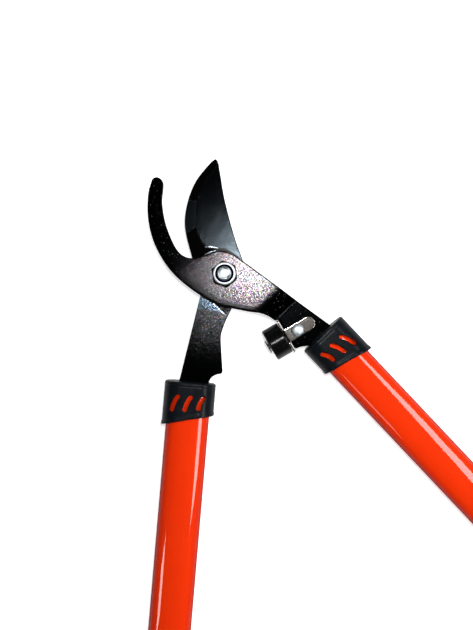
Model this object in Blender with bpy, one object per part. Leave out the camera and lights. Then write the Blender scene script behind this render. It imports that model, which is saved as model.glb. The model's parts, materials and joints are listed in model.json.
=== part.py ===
# Bypass lopper: a hooked counter blade and a curved cutting blade turn on one pivot bolt,
# and each blade's tang is riveted into the end of a flat-oval steel handle tube.
#
# Sizes are in metres. Each half is modelled with its own handle pointing along -Y, the pivot
# at x = y = 0 and the sliding face between the two blades at z = 0, the nut's side being +Z.
# An empty for each half then turns it about the pivot to the half-open rest position and
# lifts it so that the flat of the bolt's head lies at z = 0.
# The hook half carries the right handle and the cutting half carries the left handle,
# as seen from the nut.

import math

import bmesh
import bpy
from mathutils import Matrix, Vector

mm = 0.001

# Fits
seat_gap = 0.3 * mm  # left between two parts that touch
hole_gap = 0.3 * mm  # left all round a bolt, rivet or tang in its hole
overrun = 1.0 * mm  # of a cutter past the surface it cuts

# Rest position
half_angle = math.radians(24.1)  # each handle away from the line between the two

# Blades
hook_thickness = 5.0 * mm
blade_thickness = 4.2 * mm
hook_rim = 0.9 * mm  # rounding along the hook's two faces
blade_rim = 0.35 * mm
edge_land = 0.4 * mm  # thickness left along the cutting edge
edge_depth = 1.9 * mm  # cutting edge below the blade's front face
boss_drop = 16.0 * mm  # pivot to the lower end of the round part about the pivot
collar_drop = 79.1 * mm  # pivot to the collars' tops
hook_spacing = 2.2 * mm  # between outline points
tang_spacing = 2.0 * mm
spine_spacing = 3.0 * mm
edge_spacing = 1.0 * mm
edge_count = 36  # outline points along the cutting edge

# Bend that brings the hook's tang back to the other blade's plane: start of the soft bend,
# start of the straight slope and the sharp bend at its end, as shares of the way from the
# boss to the collar
joggle_shares = (0.21, 0.335, 0.522)
crease_above = 0.8 * mm  # rounding of the sharp bend
crease_below = 0.2 * mm

# Tangs inside the handle tubes
tang_depth = 56.0 * mm  # below the collar's top
heel_clearance = 1.15 * mm  # between the tang's heel and the tube's inner wall
heel_depth = 2.6 * mm  # straight part of the heel below the collar's top
shoulder_step = 2.0 * mm  # outer edge still short of its full width at the collar's top
shoulder_allowance = 0.5 * mm  # the edge's slope within the collar's top wall
plug_wall = 3.1 * mm  # plug left on each side of the tang
plug_start = 8.3 * mm  # below the collar's top
plug_end = 62.0 * mm

# Handle tubes
tube_width = 30.9 * mm
tube_depth = 17.2 * mm
tube_wall = 1.5 * mm
left_offset = 17.9 * mm  # tube's middle outside the pivot, cutting half
right_offset = 22.15 * mm  # the same, hook half
handle_length = 552.0 * mm  # collar's top to the grip's end

# Collars
collar_wall = 2.7 * mm
collar_top_wall = 2.0 * mm
collar_shoulder = 1.7 * mm  # chamfer round the top
collar_inner_length = 23.0 * mm  # at the side nearer the other handle
collar_middle_length = 26.5 * mm
collar_outer_length = 32.0 * mm
collar_foot = 0.6 * mm  # chamfer round the open end
collar_lip = 0.4 * mm  # flare of the open end
collar_lip_length = 3.5 * mm
window_width = 3.1 * mm
window_pitch = 9.1 * mm
window_top = 10.3 * mm  # first end's centre below the collar's top
window_lengths = (8.2 * mm, 9.8 * mm, 10.4 * mm)  # between end centres, inner to outer
window_start = -10.6 * mm  # first end of the inner window from the tube's middle
window_slant = math.radians(21)
window_bow = 0.6 * mm

# Tang rivets, hidden under the strips between the windows
tang_rivet_strips = {"upper": (1, 13.0 * mm), "lower": (0, 17.0 * mm)}  # strip, depth
tang_rivet_diameter = 3.4 * mm
tang_rivet_head = 4.6 * mm
countersink_depth = 0.9 * mm
rivet_inset = 0.05 * mm  # flush rivets end this far below the surface

# Grips
grip_length = 165.0 * mm
grip_wall = 2.3 * mm
grip_bead = 3.1 * mm  # wall at the thicker ends
grip_bead_length = 6.0 * mm
grip_end_wall = 3.0 * mm
grip_end_round = 1.6 * mm

# Pivot
bolt_diameter = 10.0 * mm
bolt_flats = 8.6 * mm  # across the two flats inside the blade
bolt_head_height = 6.8 * mm
hex_across_flats = 17.0 * mm  # head and nut
hex_chamfer = 1.2 * mm  # height of the turned-off corners
hex_face_inset = 0.3 * mm  # round face inside the flats
hex_oversize = 1.0 * mm  # turned cutters beyond the hexagon's corners
bolt_proud = 1.5 * mm  # domed end beyond the nut
bolt_dome = 0.9 * mm
washer_diameter = 20.0 * mm
washer_thickness = 2.5 * mm
nut_height = 10.0 * mm
nut_turn = math.radians(-16)  # as it was tightened, from the handle's square
nut_hex_height = 6.8 * mm
nut_chamfer = 1.8 * mm
nut_crown_diameter = 16.0 * mm
nut_crown_round = 1.4 * mm
nut_lip_diameter = 13.0 * mm
insert_diameter = 14.0 * mm
insert_height = 2.2 * mm
nut_lip_height = 0.7 * mm

# Bumper, held on a bent bracket at the hook's tang
bumper_x = 0.9 * mm  # middle of the flange's outer face, beside the pivot
bumper_share = 0.74  # its place on the way from the boss to the collar
bumper_tilt = math.radians(12.9)  # its axis from square to the handle
sheet = 1.3 * mm
sheet_bend = 0.5 * mm  # inside radius
flange_height = 26.0 * mm
flange_round = 6.0 * mm
flange_corner = 1.5 * mm
flange_clearance = 0.4 * mm  # from the tang's edge beside and behind it
flange_seat_share = 0.43  # of its height, where the tang's edge leaves it
slit_width = 0.5 * mm
slit_depth = 0.5 * mm
tab_width = 9.8 * mm
tab_length = 23.9 * mm
cushion_diameter = 24.0 * mm
cushion_length = 13.0 * mm
cushion_round = 0.8 * mm
cushion_recess = 0.7 * mm
bumper_washer_diameter = 11.6 * mm
bumper_washer_thickness = 0.8 * mm
bumper_rivet_diameter = 4.0 * mm
bumper_rivet_head = 10.4 * mm
bumper_rivet_head_height = 1.2 * mm
bumper_rivet_crown = 0.55 * mm
bumper_rivet_tail = 6.0 * mm
bracket_rivet_place = 10.0 * mm  # from the flange's outer face
bracket_rivet_diameter = 5.0 * mm
bracket_rivet_head = 9.1 * mm
bracket_rivet_dome = 2.3 * mm
bracket_rivet_foot = 8.0 * mm
bracket_rivet_foot_height = 1.4 * mm
bracket_rivet_foot_round = 0.7 * mm

# Heights from the sliding face
hook_under = seat_gap / 2
blade_top = -seat_gap / 2
blade_bottom = blade_top - blade_thickness
handle_z = blade_top - blade_thickness / 2  # both handles lie in the blade's plane
washer_top = blade_bottom - seat_gap
head_top = washer_top - washer_thickness - seat_gap
nut_seat = hook_under + hook_thickness + seat_gap
nut_top = nut_seat + nut_height
collar_half_depth = tube_depth / 2 + seat_gap + collar_wall + collar_lip
bench = min(head_top - bolt_head_height, handle_z - collar_half_depth)

# Widths inside the tubes
tube_inner_half = tube_width / 2 - tube_wall
plug_half_width = tube_inner_half - seat_gap
plug_half_depth = tube_depth / 2 - tube_wall - seat_gap
tang_half = plug_half_width - plug_wall - hole_gap
heel = tube_inner_half - heel_clearance
tube_top = collar_top_wall + seat_gap  # below the collar's top


def rivet_place(strip, depth):
    # (outwards from the tube's middle, depth) of a rivet midway between two windows
    share = (depth - window_top) / (window_lengths[1] * math.cos(window_slant))
    bow = window_bow * 4 * share * (1 - share) / math.cos(window_slant)
    start = window_start + (strip + 0.5) * window_pitch
    return start + (depth - window_top) * math.tan(window_slant) + bow, depth


tang_rivet_places = {name: rivet_place(*strip) for name, strip in tang_rivet_strips.items()}


def down(share):
    # height of a point on the way from the boss's lower end (0) to the collar's top (1)
    return -(boss_drop + share * (collar_drop - boss_drop))


def curve(points, step):
    # smooth curve through the points (centripetal Catmull-Rom), about one point per step
    knots = [Vector(point) for point in points]
    knots = [2 * knots[0] - knots[1]] + knots + [2 * knots[-1] - knots[-2]]
    result = []
    for a, b, c, d in zip(knots, knots[1:], knots[2:], knots[3:]):
        ta = 0.0
        tb = ta + math.sqrt((b - a).length)
        tc = tb + math.sqrt((c - b).length)
        td = tc + math.sqrt((d - c).length)
        count = max(1, round((c - b).length / step))
        for i in range(count):
            t = tb + (tc - tb) * i / count
            ab = a.lerp(b, (t - ta) / (tb - ta))
            bc = b.lerp(c, (t - tb) / (tc - tb))
            cd = c.lerp(d, (t - tc) / (td - tc))
            abc = ab.lerp(bc, (t - ta) / (tc - ta))
            bcd = bc.lerp(cd, (t - tb) / (td - tb))
            result.append(abc.lerp(bcd, (t - tb) / (tc - tb)))
    result.append(knots[-2])
    return result


def in_mm(*points):
    return [(x * mm, y * mm) for x, y in points]


def stadium(half_width, half_depth, arc_steps=12, flat_steps=4):
    # flat-sided oval as (x, z) points: two straight sides and two half circles
    flat = half_width - half_depth
    points = []
    for end in (1, -1):
        for i in range(arc_steps):
            turn = math.pi * (i / arc_steps - 0.5)
            points.append((end * (flat + half_depth * math.cos(turn)),
                           end * half_depth * math.sin(turn)))
        for i in range(flat_steps):
            points.append((end * flat * (1 - 2 * i / flat_steps), end * half_depth))
    return points


def ring_solid(rings, close=False):
    # skin over rings with equal numbers of points; the ends are capped unless the
    # last ring joins the first
    bm = bmesh.new()
    loops = [[bm.verts.new(point) for point in ring] for ring in rings]
    pairs = list(zip(loops, loops[1:]))
    if close:
        pairs.append((loops[-1], loops[0]))
    for low, high in pairs:
        for i in range(len(low)):
            j = (i + 1) % len(low)
            bm.faces.new((low[i], low[j], high[j], high[i]))
    if not close:
        bm.faces.new(loops[0])
        bm.faces.new(loops[-1])
    bmesh.ops.recalc_face_normals(bm, faces=bm.faces)
    return bm


def turned(profile, steps=32):
    # turned piece about Z from (radius, height) pairs: a profile that starts and ends on the
    # axis is solid, any other is a closed loop round a bore
    bm = bmesh.new()
    verts = [bm.verts.new((radius, 0, height)) for radius, height in profile]
    edges = [bm.edges.new(pair) for pair in zip(verts, verts[1:])]
    if profile[0][0] > 0:
        edges.append(bm.edges.new((verts[-1], verts[0])))
    bmesh.ops.spin(bm, geom=verts + edges, cent=(0, 0, 0), axis=(0, 0, 1),
                   angle=2 * math.pi, steps=steps, use_merge=True)
    bmesh.ops.remove_doubles(bm, verts=bm.verts, dist=0.001 * mm)
    bmesh.ops.recalc_face_normals(bm, faces=bm.faces)
    return bm


def plate(outline, low, high, rim=0.0):
    # flat plate from an (x, y) outline, its two faces rounded off by the rim
    bm = bmesh.new()
    base = bm.faces.new([bm.verts.new((x, y, low)) for x, y in outline])
    grown = bmesh.ops.extrude_face_region(bm, geom=[base])["geom"]
    top = [item for item in grown if isinstance(item, bmesh.types.BMVert)]
    bmesh.ops.translate(bm, verts=top, vec=(0, 0, high - low))
    bmesh.ops.recalc_face_normals(bm, faces=bm.faces)
    if rim > 0:
        edges = [edge for edge in bm.edges if edge.verts[0].co.z == edge.verts[1].co.z]
        bmesh.ops.bevel(bm, geom=edges, offset=rim, segments=2, profile=0.5, affect="EDGES")
    return bm


def material(name, colour, roughness, metallic):
    finish = bpy.data.materials.new(name)
    finish.use_nodes = True
    shader = finish.node_tree.nodes["Principled BSDF"]
    shader.inputs["Base Color"].default_value = (*colour, 1)
    shader.inputs["Roughness"].default_value = roughness
    shader.inputs["Metallic"].default_value = metallic
    return finish


def place(name, bm, parent, finish=None, smooth_angle=None):
    mesh = bpy.data.meshes.new(name)
    bm.to_mesh(mesh)
    bm.free()
    if smooth_angle:
        mesh.shade_smooth()
        mesh.set_sharp_from_angle(angle=math.radians(smooth_angle))
    piece = bpy.data.objects.new(name, mesh)
    piece.parent = parent
    bpy.context.collection.objects.link(piece)
    if finish:
        mesh.materials.append(material(name, *finish))
    return piece


def cutter(name, bm, parent):
    piece = place(name, bm, parent)
    piece.hide_render = True
    piece.display_type = "WIRE"
    return piece


def combine(piece, other, operation="DIFFERENCE"):
    step = piece.modifiers.new(other.name, "BOOLEAN")
    step.operation = operation
    step.solver = "EXACT"
    step.object = other


def empty(name, parent, matrix):
    frame = bpy.data.objects.new(name, None)
    bpy.context.collection.objects.link(frame)
    frame.parent = parent
    frame.matrix_local = matrix
    return frame


def pin_cutter(name, radius, place_xy, low, high, parent, steps=20):
    profile = [(0, high), (radius, high), (radius, low), (0, low)]
    piece = cutter(name, turned(profile, steps), parent)
    piece.location = (place_xy[0], place_xy[1], 0)
    return piece


# Colour, roughness and metallic value of each finish
powder_coat = ((0.09, 0.085, 0.09), 0.45, 0.3)
blade_steel = ((0.07, 0.08, 0.1), 0.35, 0.8)
zinc = ((0.62, 0.63, 0.64), 0.3, 1.0)
dark_zinc = ((0.12, 0.12, 0.13), 0.35, 0.9)
blue_nylon = ((0.02, 0.02, 0.09), 0.4, 0.0)
rubber = ((0.012, 0.012, 0.013), 0.35, 0.0)
black_plastic = ((0.02, 0.022, 0.026), 0.45, 0.0)
white_nylon = ((0.6, 0.6, 0.57), 0.5, 0.0)
orange_paint = ((0.85, 0.05, 0.008), 0.25, 0.0)


def outer_edge(side, middle, start_xy):
    # a tang's straight outer edge: from its start, past the collar's top, to the full width
    neck = (middle + side * (tang_half - shoulder_step), -collar_drop)
    slope = (neck[0] - start_xy[0]) / (start_xy[1] - neck[1])
    full = middle + side * tang_half
    end_y = -(collar_drop + tang_depth)
    return [(full, end_y), (full, neck[1] - (full - neck[0]) / slope), start_xy]


def inner_neck(side, middle):
    # a tang's heel, from the collar's top down into the plug and on to the tang's end
    heel_x = middle - side * heel
    inner_x = middle - side * tang_half
    return [(heel_x, -collar_drop), (heel_x, -collar_drop - heel_depth),
            (inner_x, -collar_drop - plug_start + seat_gap),
            (inner_x, -collar_drop - tang_depth)]


def bumper_frame():
    # middle of the flange's outer face; X down along the tang, Y towards the nut's side and
    # Z along the bumper's axis, towards the other tang
    axis = Vector((-math.cos(bumper_tilt), math.sin(bumper_tilt), 0))
    edge = Vector((-math.sin(bumper_tilt), -math.cos(bumper_tilt), 0))
    middle = Vector((bumper_x, down(bumper_share), handle_z))
    frame = Matrix((edge, (0, 0, 1), axis)).transposed().to_4x4()
    frame.translation = middle
    return frame


def hook_outline():
    middle = right_offset
    frame = bumper_frame()
    behind = -(sheet + flange_clearance)
    shoulder = flange_height / 2 + flange_clearance

    def beside_flange(along, out):
        return (frame @ Vector((along, 0, out))).to_2d()

    outer = outer_edge(1, middle, (16.1 * mm, -2.1 * mm))
    crown = in_mm((16.1, -2.1), (13.8, 7.3), (8.6, 15.0), (-0.9, 19.7), (-8.3, 23.5),
                  (-12.4, 29.7), (-12.7, 36.0), (-10.26, 44.94), (-4.64, 57.38), (3.2, 68.4),
                  (9.6, 74.1), (12.7, 77.2), (13.7, 80.4), (12.9, 83.2), (11.2, 84.7),
                  (8.9, 84.9), (5.8, 83.2), (1.76, 80.9), (-10.62, 68.92), (-19.97, 54.09),
                  (-25.1, 38.0), (-26.45, 24.73), (-25.3, 11.83), (-22.3, -2.1), (-17.2, -15.5))
    lower = [(-12.9 * mm, down(0.088)), (-5.1 * mm, down(0.259)),
             (-0.4 * mm, down(0.351)), (2.2 * mm, down(0.434)),
             beside_flange(-shoulder, seat_gap)]
    step = [beside_flange(flange_seat_share * flange_height, behind)]
    step += [(middle - heel + x, -collar_drop + y)
             for x, y in in_mm((-5.5, 3.7), (-2.7, 1.7), (0, 0))]
    return (outer[:2] + curve(crown + lower, hook_spacing)
            + [beside_flange(-shoulder, behind)] + curve(step, tang_spacing)
            + inner_neck(1, middle)[1:])


def joggle_levels():
    # height along the tang and how far the plate is bent back there: a soft bend, a straight
    # slope and a sharp bend
    start, slope_start, end = (down(share) for share in joggle_shares)
    drop = hook_under + hook_thickness / 2 - handle_z
    soft = start - slope_start
    slope = drop / (soft / 2 + slope_start - end)
    levels = [(start - soft * i / 4, slope * soft * (i / 4) ** 2 / 2) for i in range(5)]
    return levels + [(end + crease_above, drop - slope * crease_above), (end - crease_below, drop)]


def bend_back(bm, levels):
    for height, drop in levels:
        geometry = bm.verts[:] + bm.edges[:] + bm.faces[:]
        bmesh.ops.bisect_plane(bm, geom=geometry, dist=0.001 * mm,
                               plane_co=(0, height, 0), plane_no=(0, 1, 0))
    for vert in bm.verts:
        height = vert.co.y
        if height >= levels[0][0]:
            continue
        drop = levels[-1][1]
        for (y0, d0), (y1, d1) in zip(levels, levels[1:]):
            if y0 >= height > y1:
                drop = d0 + (d1 - d0) * (y0 - height) / (y0 - y1)
        vert.co.z -= drop


def make_hook(half):
    bm = plate(hook_outline(), hook_under, hook_under + hook_thickness, hook_rim)
    bend_back(bm, joggle_levels())
    hook = place("hook_blade", bm, half, powder_coat, 35)
    reach = hook_thickness * 2
    pivot = pin_cutter("hook_pivot_hole", bolt_diameter / 2 + hole_gap, (0, 0),
                       hook_under - reach, nut_seat + reach, half, 32)
    combine(hook, pivot)
    rivet = bumper_frame() @ Vector((0, 0, -bracket_rivet_place))
    combine(hook, pin_cutter("hook_bracket_hole", bracket_rivet_diameter / 2 + hole_gap,
                             rivet, handle_z - reach, handle_z + reach, half))
    for name, (out, depth) in tang_rivet_places.items():
        spot = (right_offset + out, -collar_drop - depth)
        combine(hook, pin_cutter("hook_hole_" + name, tang_rivet_diameter / 2 + hole_gap,
                                 spot, handle_z - reach, handle_z + reach, half))


def blade_outline():
    # the outline in three stretches: the cutting edge, the inner line of its bevel, and the
    # rest of the plate from the bevel's foot round the tang and up the spine to its top
    middle = -left_offset
    edge = in_mm((-12.4, 81.3), (-14.1, 82.4), (-16.3, 80.4), (-21.4, 73.6), (-26.1, 66.1),
                 (-29.7, 56.5), (-31.9, 44.2), (-31.9, 34.0), (-29.7, 24.5), (-25.9, 13.9),
                 (-22.0, 3.0), (-18.6, -7.0))
    bevel = in_mm((-10.9, 78.7), (-15.2, 71.2), (-19.4, 61.2), (-22.4, 51.5), (-23.6, 41.5),
                  (-23.2, 32.5), (-21.2, 23.5), (-18.6, 13.0), (-16.8, 2.0), (-16.4, -12.0))
    outer = outer_edge(-1, middle, (-16.3 * mm, -17.0 * mm))
    neck = inner_neck(-1, middle)
    step = [neck[0]] + [(middle + heel + x, -collar_drop + y)
                        for x, y in in_mm((1.8, 4.1), (5.1, 6.6), (9.0, 7.7), (9.6, 9.2))]
    waist = [(1.25 * mm, down(0.49)), (1.2 * mm, down(0.43)), (3.22 * mm, down(0.295)),
             (7.52 * mm, down(0.116))]
    spine = in_mm((12.4, -10.0), (14.6, 0.0), (12.6, 10.0), (6.39, 23.79), (0.59, 38.76),
                  (-5.09, 55.55), (-9.3, 72.0), (-10.9, 78.7))
    rest = (list(reversed(outer)) + list(reversed(neck))[:-1] + curve(step[:-1], tang_spacing)
            + step[-1:] + curve(waist + spine, spine_spacing))
    return (resample(curve(edge, edge_spacing), edge_count),
            resample(curve(bevel, edge_spacing), edge_count), rest)


def resample(points, count):
    # the same curve with count points at equal distances along it
    lengths = [0.0]
    for a, b in zip(points, points[1:]):
        lengths.append(lengths[-1] + (b - a).length)
    result = []
    for i in range(count):
        target = lengths[-1] * i / (count - 1)
        j = min(range(1, len(lengths)), key=lambda k: lengths[k] < target - 1e-9)
        span = lengths[j] - lengths[j - 1]
        result.append(points[j - 1].lerp(points[j], (target - lengths[j - 1]) / span))
    return result


def make_blade(half):
    edge, bevel, rest = blade_outline()
    edge_top = blade_top - edge_depth + edge_land / 2
    edge_bottom = edge_top - edge_land
    bm = bmesh.new()

    def line(points, height):
        return [bm.verts.new((x, y, height)) for x, y in points]

    loops = {}
    for key, flat, cut in (("top", blade_top, edge_top), ("bottom", blade_bottom, edge_bottom)):
        loops[key] = (line(edge, cut), line(bevel, flat), line(rest[:-1], flat))
    for edge_line, bevel_line, rest_line in loops.values():
        bm.faces.new(bevel_line + rest_line)
        for i in range(len(edge_line) - 1):
            bm.faces.new((edge_line[i], edge_line[i + 1], bevel_line[i + 1], bevel_line[i]))
    walls = [edge_line + [bevel_line[-1]] + rest_line + [bevel_line[0]]
             for edge_line, bevel_line, rest_line in (loops["top"], loops["bottom"])]
    for i in range(len(walls[0])):
        j = (i + 1) % len(walls[0])
        bm.faces.new((walls[0][i], walls[0][j], walls[1][j], walls[1][i]))
    bmesh.ops.recalc_face_normals(bm, faces=bm.faces)
    rim = [bm.edges.get(pair) for key in ("top", "bottom")
           for pair in zip(loops[key][2], loops[key][2][1:])]
    bmesh.ops.bevel(bm, geom=rim, offset=blade_rim, segments=1, affect="EDGES")
    blade = place("cutting_blade", bm, half, blade_steel, 9)
    reach = blade_thickness * 2
    pivot = pin_cutter("blade_pivot_hole", bolt_diameter / 2 + hole_gap, (0, 0),
                       blade_bottom - reach, reach, half, 32)
    flats_cut(pivot, half, bolt_flats / 2 + hole_gap, blade_bottom - 2 * reach, 2 * reach,
              "blade_hole_flat")
    combine(blade, pivot)
    for name, (out, depth) in tang_rivet_places.items():
        spot = (-left_offset - out, -collar_drop - depth)
        combine(blade, pin_cutter("blade_hole_" + name, tang_rivet_diameter / 2 + hole_gap,
                                  spot, handle_z - reach, handle_z + reach, half))


def flats_cut(piece, parent, half_across, low, high, name):
    # two flats across X, half_across from the axis, between two heights
    for side in (1, -1):
        bm = bmesh.new()
        bmesh.ops.create_cube(bm, size=1)
        size = bolt_diameter
        bmesh.ops.scale(bm, vec=(size, 2 * size, high - low), verts=bm.verts)
        bmesh.ops.translate(bm, verts=bm.verts,
                            vec=(side * (half_across + size / 2), 0, (high + low) / 2))
        combine(piece, cutter(f"{name}_{side}", bm, parent))


def hexagon(across_flats, low, high, turn=0.0):
    radius = across_flats / math.sqrt(3)
    corners = [(radius * math.cos(turn + math.pi / 3 * i),
                radius * math.sin(turn + math.pi / 3 * i)) for i in range(6)]
    return plate(corners, low, high)


def make_pivot(half):
    barrel_radius = hex_across_flats / math.sqrt(3) + hex_oversize
    face_radius = hex_across_flats / 2 - hex_face_inset
    shank = bolt_diameter / 2
    head_bottom = head_top - bolt_head_height
    head_middle = head_top - bolt_head_height / 2

    bolt = place("pivot_bolt", hexagon(hex_across_flats, head_bottom, head_top), half, zinc, 35)
    barrel = turned([(0, head_top), (barrel_radius, head_top),
                     (barrel_radius, head_bottom + hex_chamfer), (face_radius, head_bottom),
                     (0, head_bottom)], 32)
    combine(bolt, cutter("bolt_head_chamfer", barrel, half), "INTERSECT")
    dome_start = nut_top + bolt_proud - bolt_dome
    end = [(shank * math.sin(math.radians(a)), dome_start + bolt_dome * math.cos(math.radians(a)))
           for a in (0, 30, 55, 75, 90)]
    rod = turned(end + [(shank, head_middle), (0, head_middle)], 32)
    combine(bolt, cutter("bolt_shank", rod, half), "UNION")
    flats_cut(bolt, half, bolt_flats / 2, blade_bottom - seat_gap / 2, blade_top + seat_gap / 2,
              "bolt_flat")

    inner = shank + hole_gap
    place("pivot_washer", turned([(washer_diameter / 2, washer_top),
                                  (washer_diameter / 2, washer_top - washer_thickness),
                                  (inner, washer_top - washer_thickness),
                                  (inner, washer_top)], 40), half, zinc, 35)

    nut = place("pivot_nut", hexagon(hex_across_flats, nut_seat, nut_seat + nut_hex_height,
                                     nut_turn), half, zinc, 35)
    crown = nut_crown_diameter / 2
    hex_top = nut_seat + nut_hex_height
    hex_middle = nut_seat + nut_hex_height / 2
    barrel = turned([(0, hex_top), (crown, hex_top), (barrel_radius, hex_top - nut_chamfer),
                     (barrel_radius, nut_seat + hex_chamfer), (face_radius, nut_seat),
                     (0, nut_seat)], 32)
    combine(nut, cutter("nut_chamfer", barrel, half), "INTERSECT")
    shoulder = [(crown - nut_crown_round * (1 - math.sin(math.radians(a))),
                 nut_top - nut_crown_round * (1 - math.cos(math.radians(a)))) for a in (0, 45, 90)]
    dome = turned([(0, nut_top)] + shoulder + [(crown, hex_middle), (0, hex_middle)], 32)
    combine(nut, cutter("nut_crown", dome, half), "UNION")
    lip = nut_lip_diameter / 2
    insert = insert_diameter / 2
    insert_top = nut_top - nut_lip_height - seat_gap
    insert_bottom = insert_top - insert_height
    bore = turned([(0, nut_top + overrun), (lip, nut_top + overrun), (lip, nut_top - nut_lip_height),
                   (insert + hole_gap, nut_top - nut_lip_height),
                   (insert + hole_gap, insert_bottom - seat_gap), (inner, insert_bottom - seat_gap),
                   (inner, nut_seat - overrun), (0, nut_seat - overrun)], 32)
    combine(nut, cutter("nut_bore", bore, half))
    place("nut_insert", turned([(insert, insert_top), (insert, insert_bottom),
                                (inner, insert_bottom), (inner, insert_top)], 32),
          half, blue_nylon, 35)


def make_bracket(frame):
    # Sheet-metal bracket from a T-shaped blank: the wide flange stands behind the cushion and
    # the narrow tab is bent over onto the front of the tang, between two relief slits.
    tang_front = hook_thickness / 2
    bend_outer = sheet_bend + sheet
    root = tang_front + seat_gap - sheet_bend
    half = flange_height / 2
    tab = tab_width / 2
    slit = tab + slit_width
    outline = []
    for start, sx, y, radius in ((180, -1, -collar_half_depth, flange_round),
                                 (270, 1, -collar_half_depth, flange_round),
                                 (0, 1, root, flange_corner), (90, -1, root, flange_corner)):
        if start == 90:
            outline += [(slit, root), (slit, root - slit_depth), (tab, root - slit_depth),
                        (tab, root), (-tab, root), (-tab, root - slit_depth),
                        (-slit, root - slit_depth), (-slit, root)]
        middle_y = y + radius if start >= 180 else y - radius
        for i in range(5):
            turn = math.radians(start + 22.5 * i)
            outline.append((sx * (half - radius) + radius * math.cos(turn),
                            middle_y + radius * math.sin(turn)))
    bm = plate(outline, -sheet, 0)

    def nearest_face(spot):
        bm.faces.ensure_lookup_table()
        return min(bm.faces, key=lambda face: (face.calc_center_median() - Vector(spot)).length)

    tongue = nearest_face((0, root, -sheet / 2))
    turned_up = bmesh.ops.spin(bm, geom=[tongue], cent=(0, root, -bend_outer), axis=(1, 0, 0),
                               angle=-math.pi / 2, steps=4)["geom_last"]
    bmesh.ops.delete(bm, geom=[tongue], context="FACES_ONLY")
    end = [item for item in turned_up if isinstance(item, bmesh.types.BMFace)][0]
    straight = tab_length - bend_outer - tab
    slices = [(0.0, 1.0)] + [(math.sin(math.radians(a)), math.cos(math.radians(a)))
                             for a in (20, 40, 58, 72, 82)]
    travelled = -straight
    width = 1.0
    for reach, share in slices:
        grown = bmesh.ops.extrude_discrete_faces(bm, faces=[end])["faces"]
        end = grown[0]
        target = -straight - tab * reach
        shift = travelled - target if reach else straight
        bmesh.ops.translate(bm, verts=end.verts, vec=(0, 0, -shift))
        bmesh.ops.scale(bm, verts=end.verts, vec=(share / width, 1, 1))
        travelled = target
        width = share
    bmesh.ops.recalc_face_normals(bm, faces=bm.faces)
    bracket = place("bumper_bracket", bm, frame, zinc, 35)
    hole = turned(countersunk(bumper_rivet_diameter / 2 + hole_gap,
                              bumper_rivet_tail / 2 + hole_gap, -sheet, overrun, overrun), 24)
    combine(bracket, cutter("flange_hole", hole, frame))
    rivet_hole = turned([(0, collar_half_depth), (bracket_rivet_diameter / 2 + hole_gap,
                                                  collar_half_depth),
                         (bracket_rivet_diameter / 2 + hole_gap, 0), (0, 0)], 20)
    hole_piece = cutter("tab_hole", rivet_hole, frame)
    hole_piece.matrix_local = rivet_matrix()
    combine(bracket, hole_piece)
    return tang_front + seat_gap + sheet


def countersunk(radius, head_radius, low, high, run_out=0.0):
    # pin from low to high whose lower end widens to head_radius over the countersink's depth
    sink = min(countersink_depth, 0.8 * sheet)
    profile = [(0, high), (radius, high), (radius, low + sink), (head_radius, low)]
    if run_out:
        profile.append((head_radius, low - run_out))
    return profile + [(0, low - run_out)]


def rivet_matrix():
    # stands a turned piece on the tab, its axis along Y of the bumper's frame
    turn = Matrix.Rotation(-math.pi / 2, 4, "X")
    return Matrix.Translation((0, 0, -bracket_rivet_place)) @ turn


def make_bumper(frame):
    tab_top = make_bracket(frame)
    bore = bumper_rivet_diameter / 2 + hole_gap
    outer = cushion_diameter / 2
    low = seat_gap
    high = cushion_length
    recess = bumper_washer_diameter / 2 + hole_gap
    inset = cushion_round
    corner = inset * (1 - math.sin(math.radians(45)))
    place("bumper_cushion",
          turned([(outer - inset, low), (outer - corner, low + corner), (outer, low + inset),
                  (outer, high - inset), (outer - corner, high - corner), (outer - inset, high),
                  (recess, high), (recess, high - cushion_recess),
                  (bore, high - cushion_recess), (bore, low)], 40), frame, rubber, 50)
    washer_low = high - cushion_recess + seat_gap
    washer_high = washer_low + bumper_washer_thickness
    place("bumper_washer", turned([(bumper_washer_diameter / 2, washer_low),
                                   (bumper_washer_diameter / 2, washer_high),
                                   (bore, washer_high), (bore, washer_low)], 32),
          frame, zinc, 35)
    head_low = washer_high + seat_gap
    head = bumper_rivet_head / 2
    shank = bumper_rivet_diameter / 2
    top = head_low + bumper_rivet_head_height
    tail = countersunk(shank, bumper_rivet_tail / 2, -sheet + rivet_inset, head_low)
    crown = [(head * math.sin(math.radians(a)),
              top - bumper_rivet_crown * (1 - math.cos(math.radians(a)))) for a in (0, 35, 65, 90)]
    profile = crown + [(head, head_low)] + tail[1:]
    place("bumper_rivet", turned(profile, 32), frame, dark_zinc, 35)

    head_low = tab_top + seat_gap
    radius = bracket_rivet_head / 2
    shank = bracket_rivet_diameter / 2
    dome = [(radius * math.sin(math.radians(a)),
             head_low + bracket_rivet_dome * math.cos(math.radians(a))) for a in range(0, 90, 15)]
    foot_top = -hook_thickness / 2 - seat_gap
    foot = bracket_rivet_foot / 2
    foot_low = foot_top - bracket_rivet_foot_height
    profile = dome + [(radius, head_low), (shank, head_low), (shank, foot_top), (foot, foot_top),
                      (foot, foot_low + bracket_rivet_foot_round),
                      (foot - bracket_rivet_foot_round, foot_low), (0, foot_low)]
    rivet = place("bracket_rivet", turned(profile, 28), frame, zinc, 35)
    rivet.matrix_local = rivet_matrix()


def tube_rings(half_width, half_depth, depths):
    # rings of a flat-sided oval at each depth below the collar's top
    return [[(x, -depth, z) for x, z in stadium(half_width, half_depth)] for depth in depths]


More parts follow.
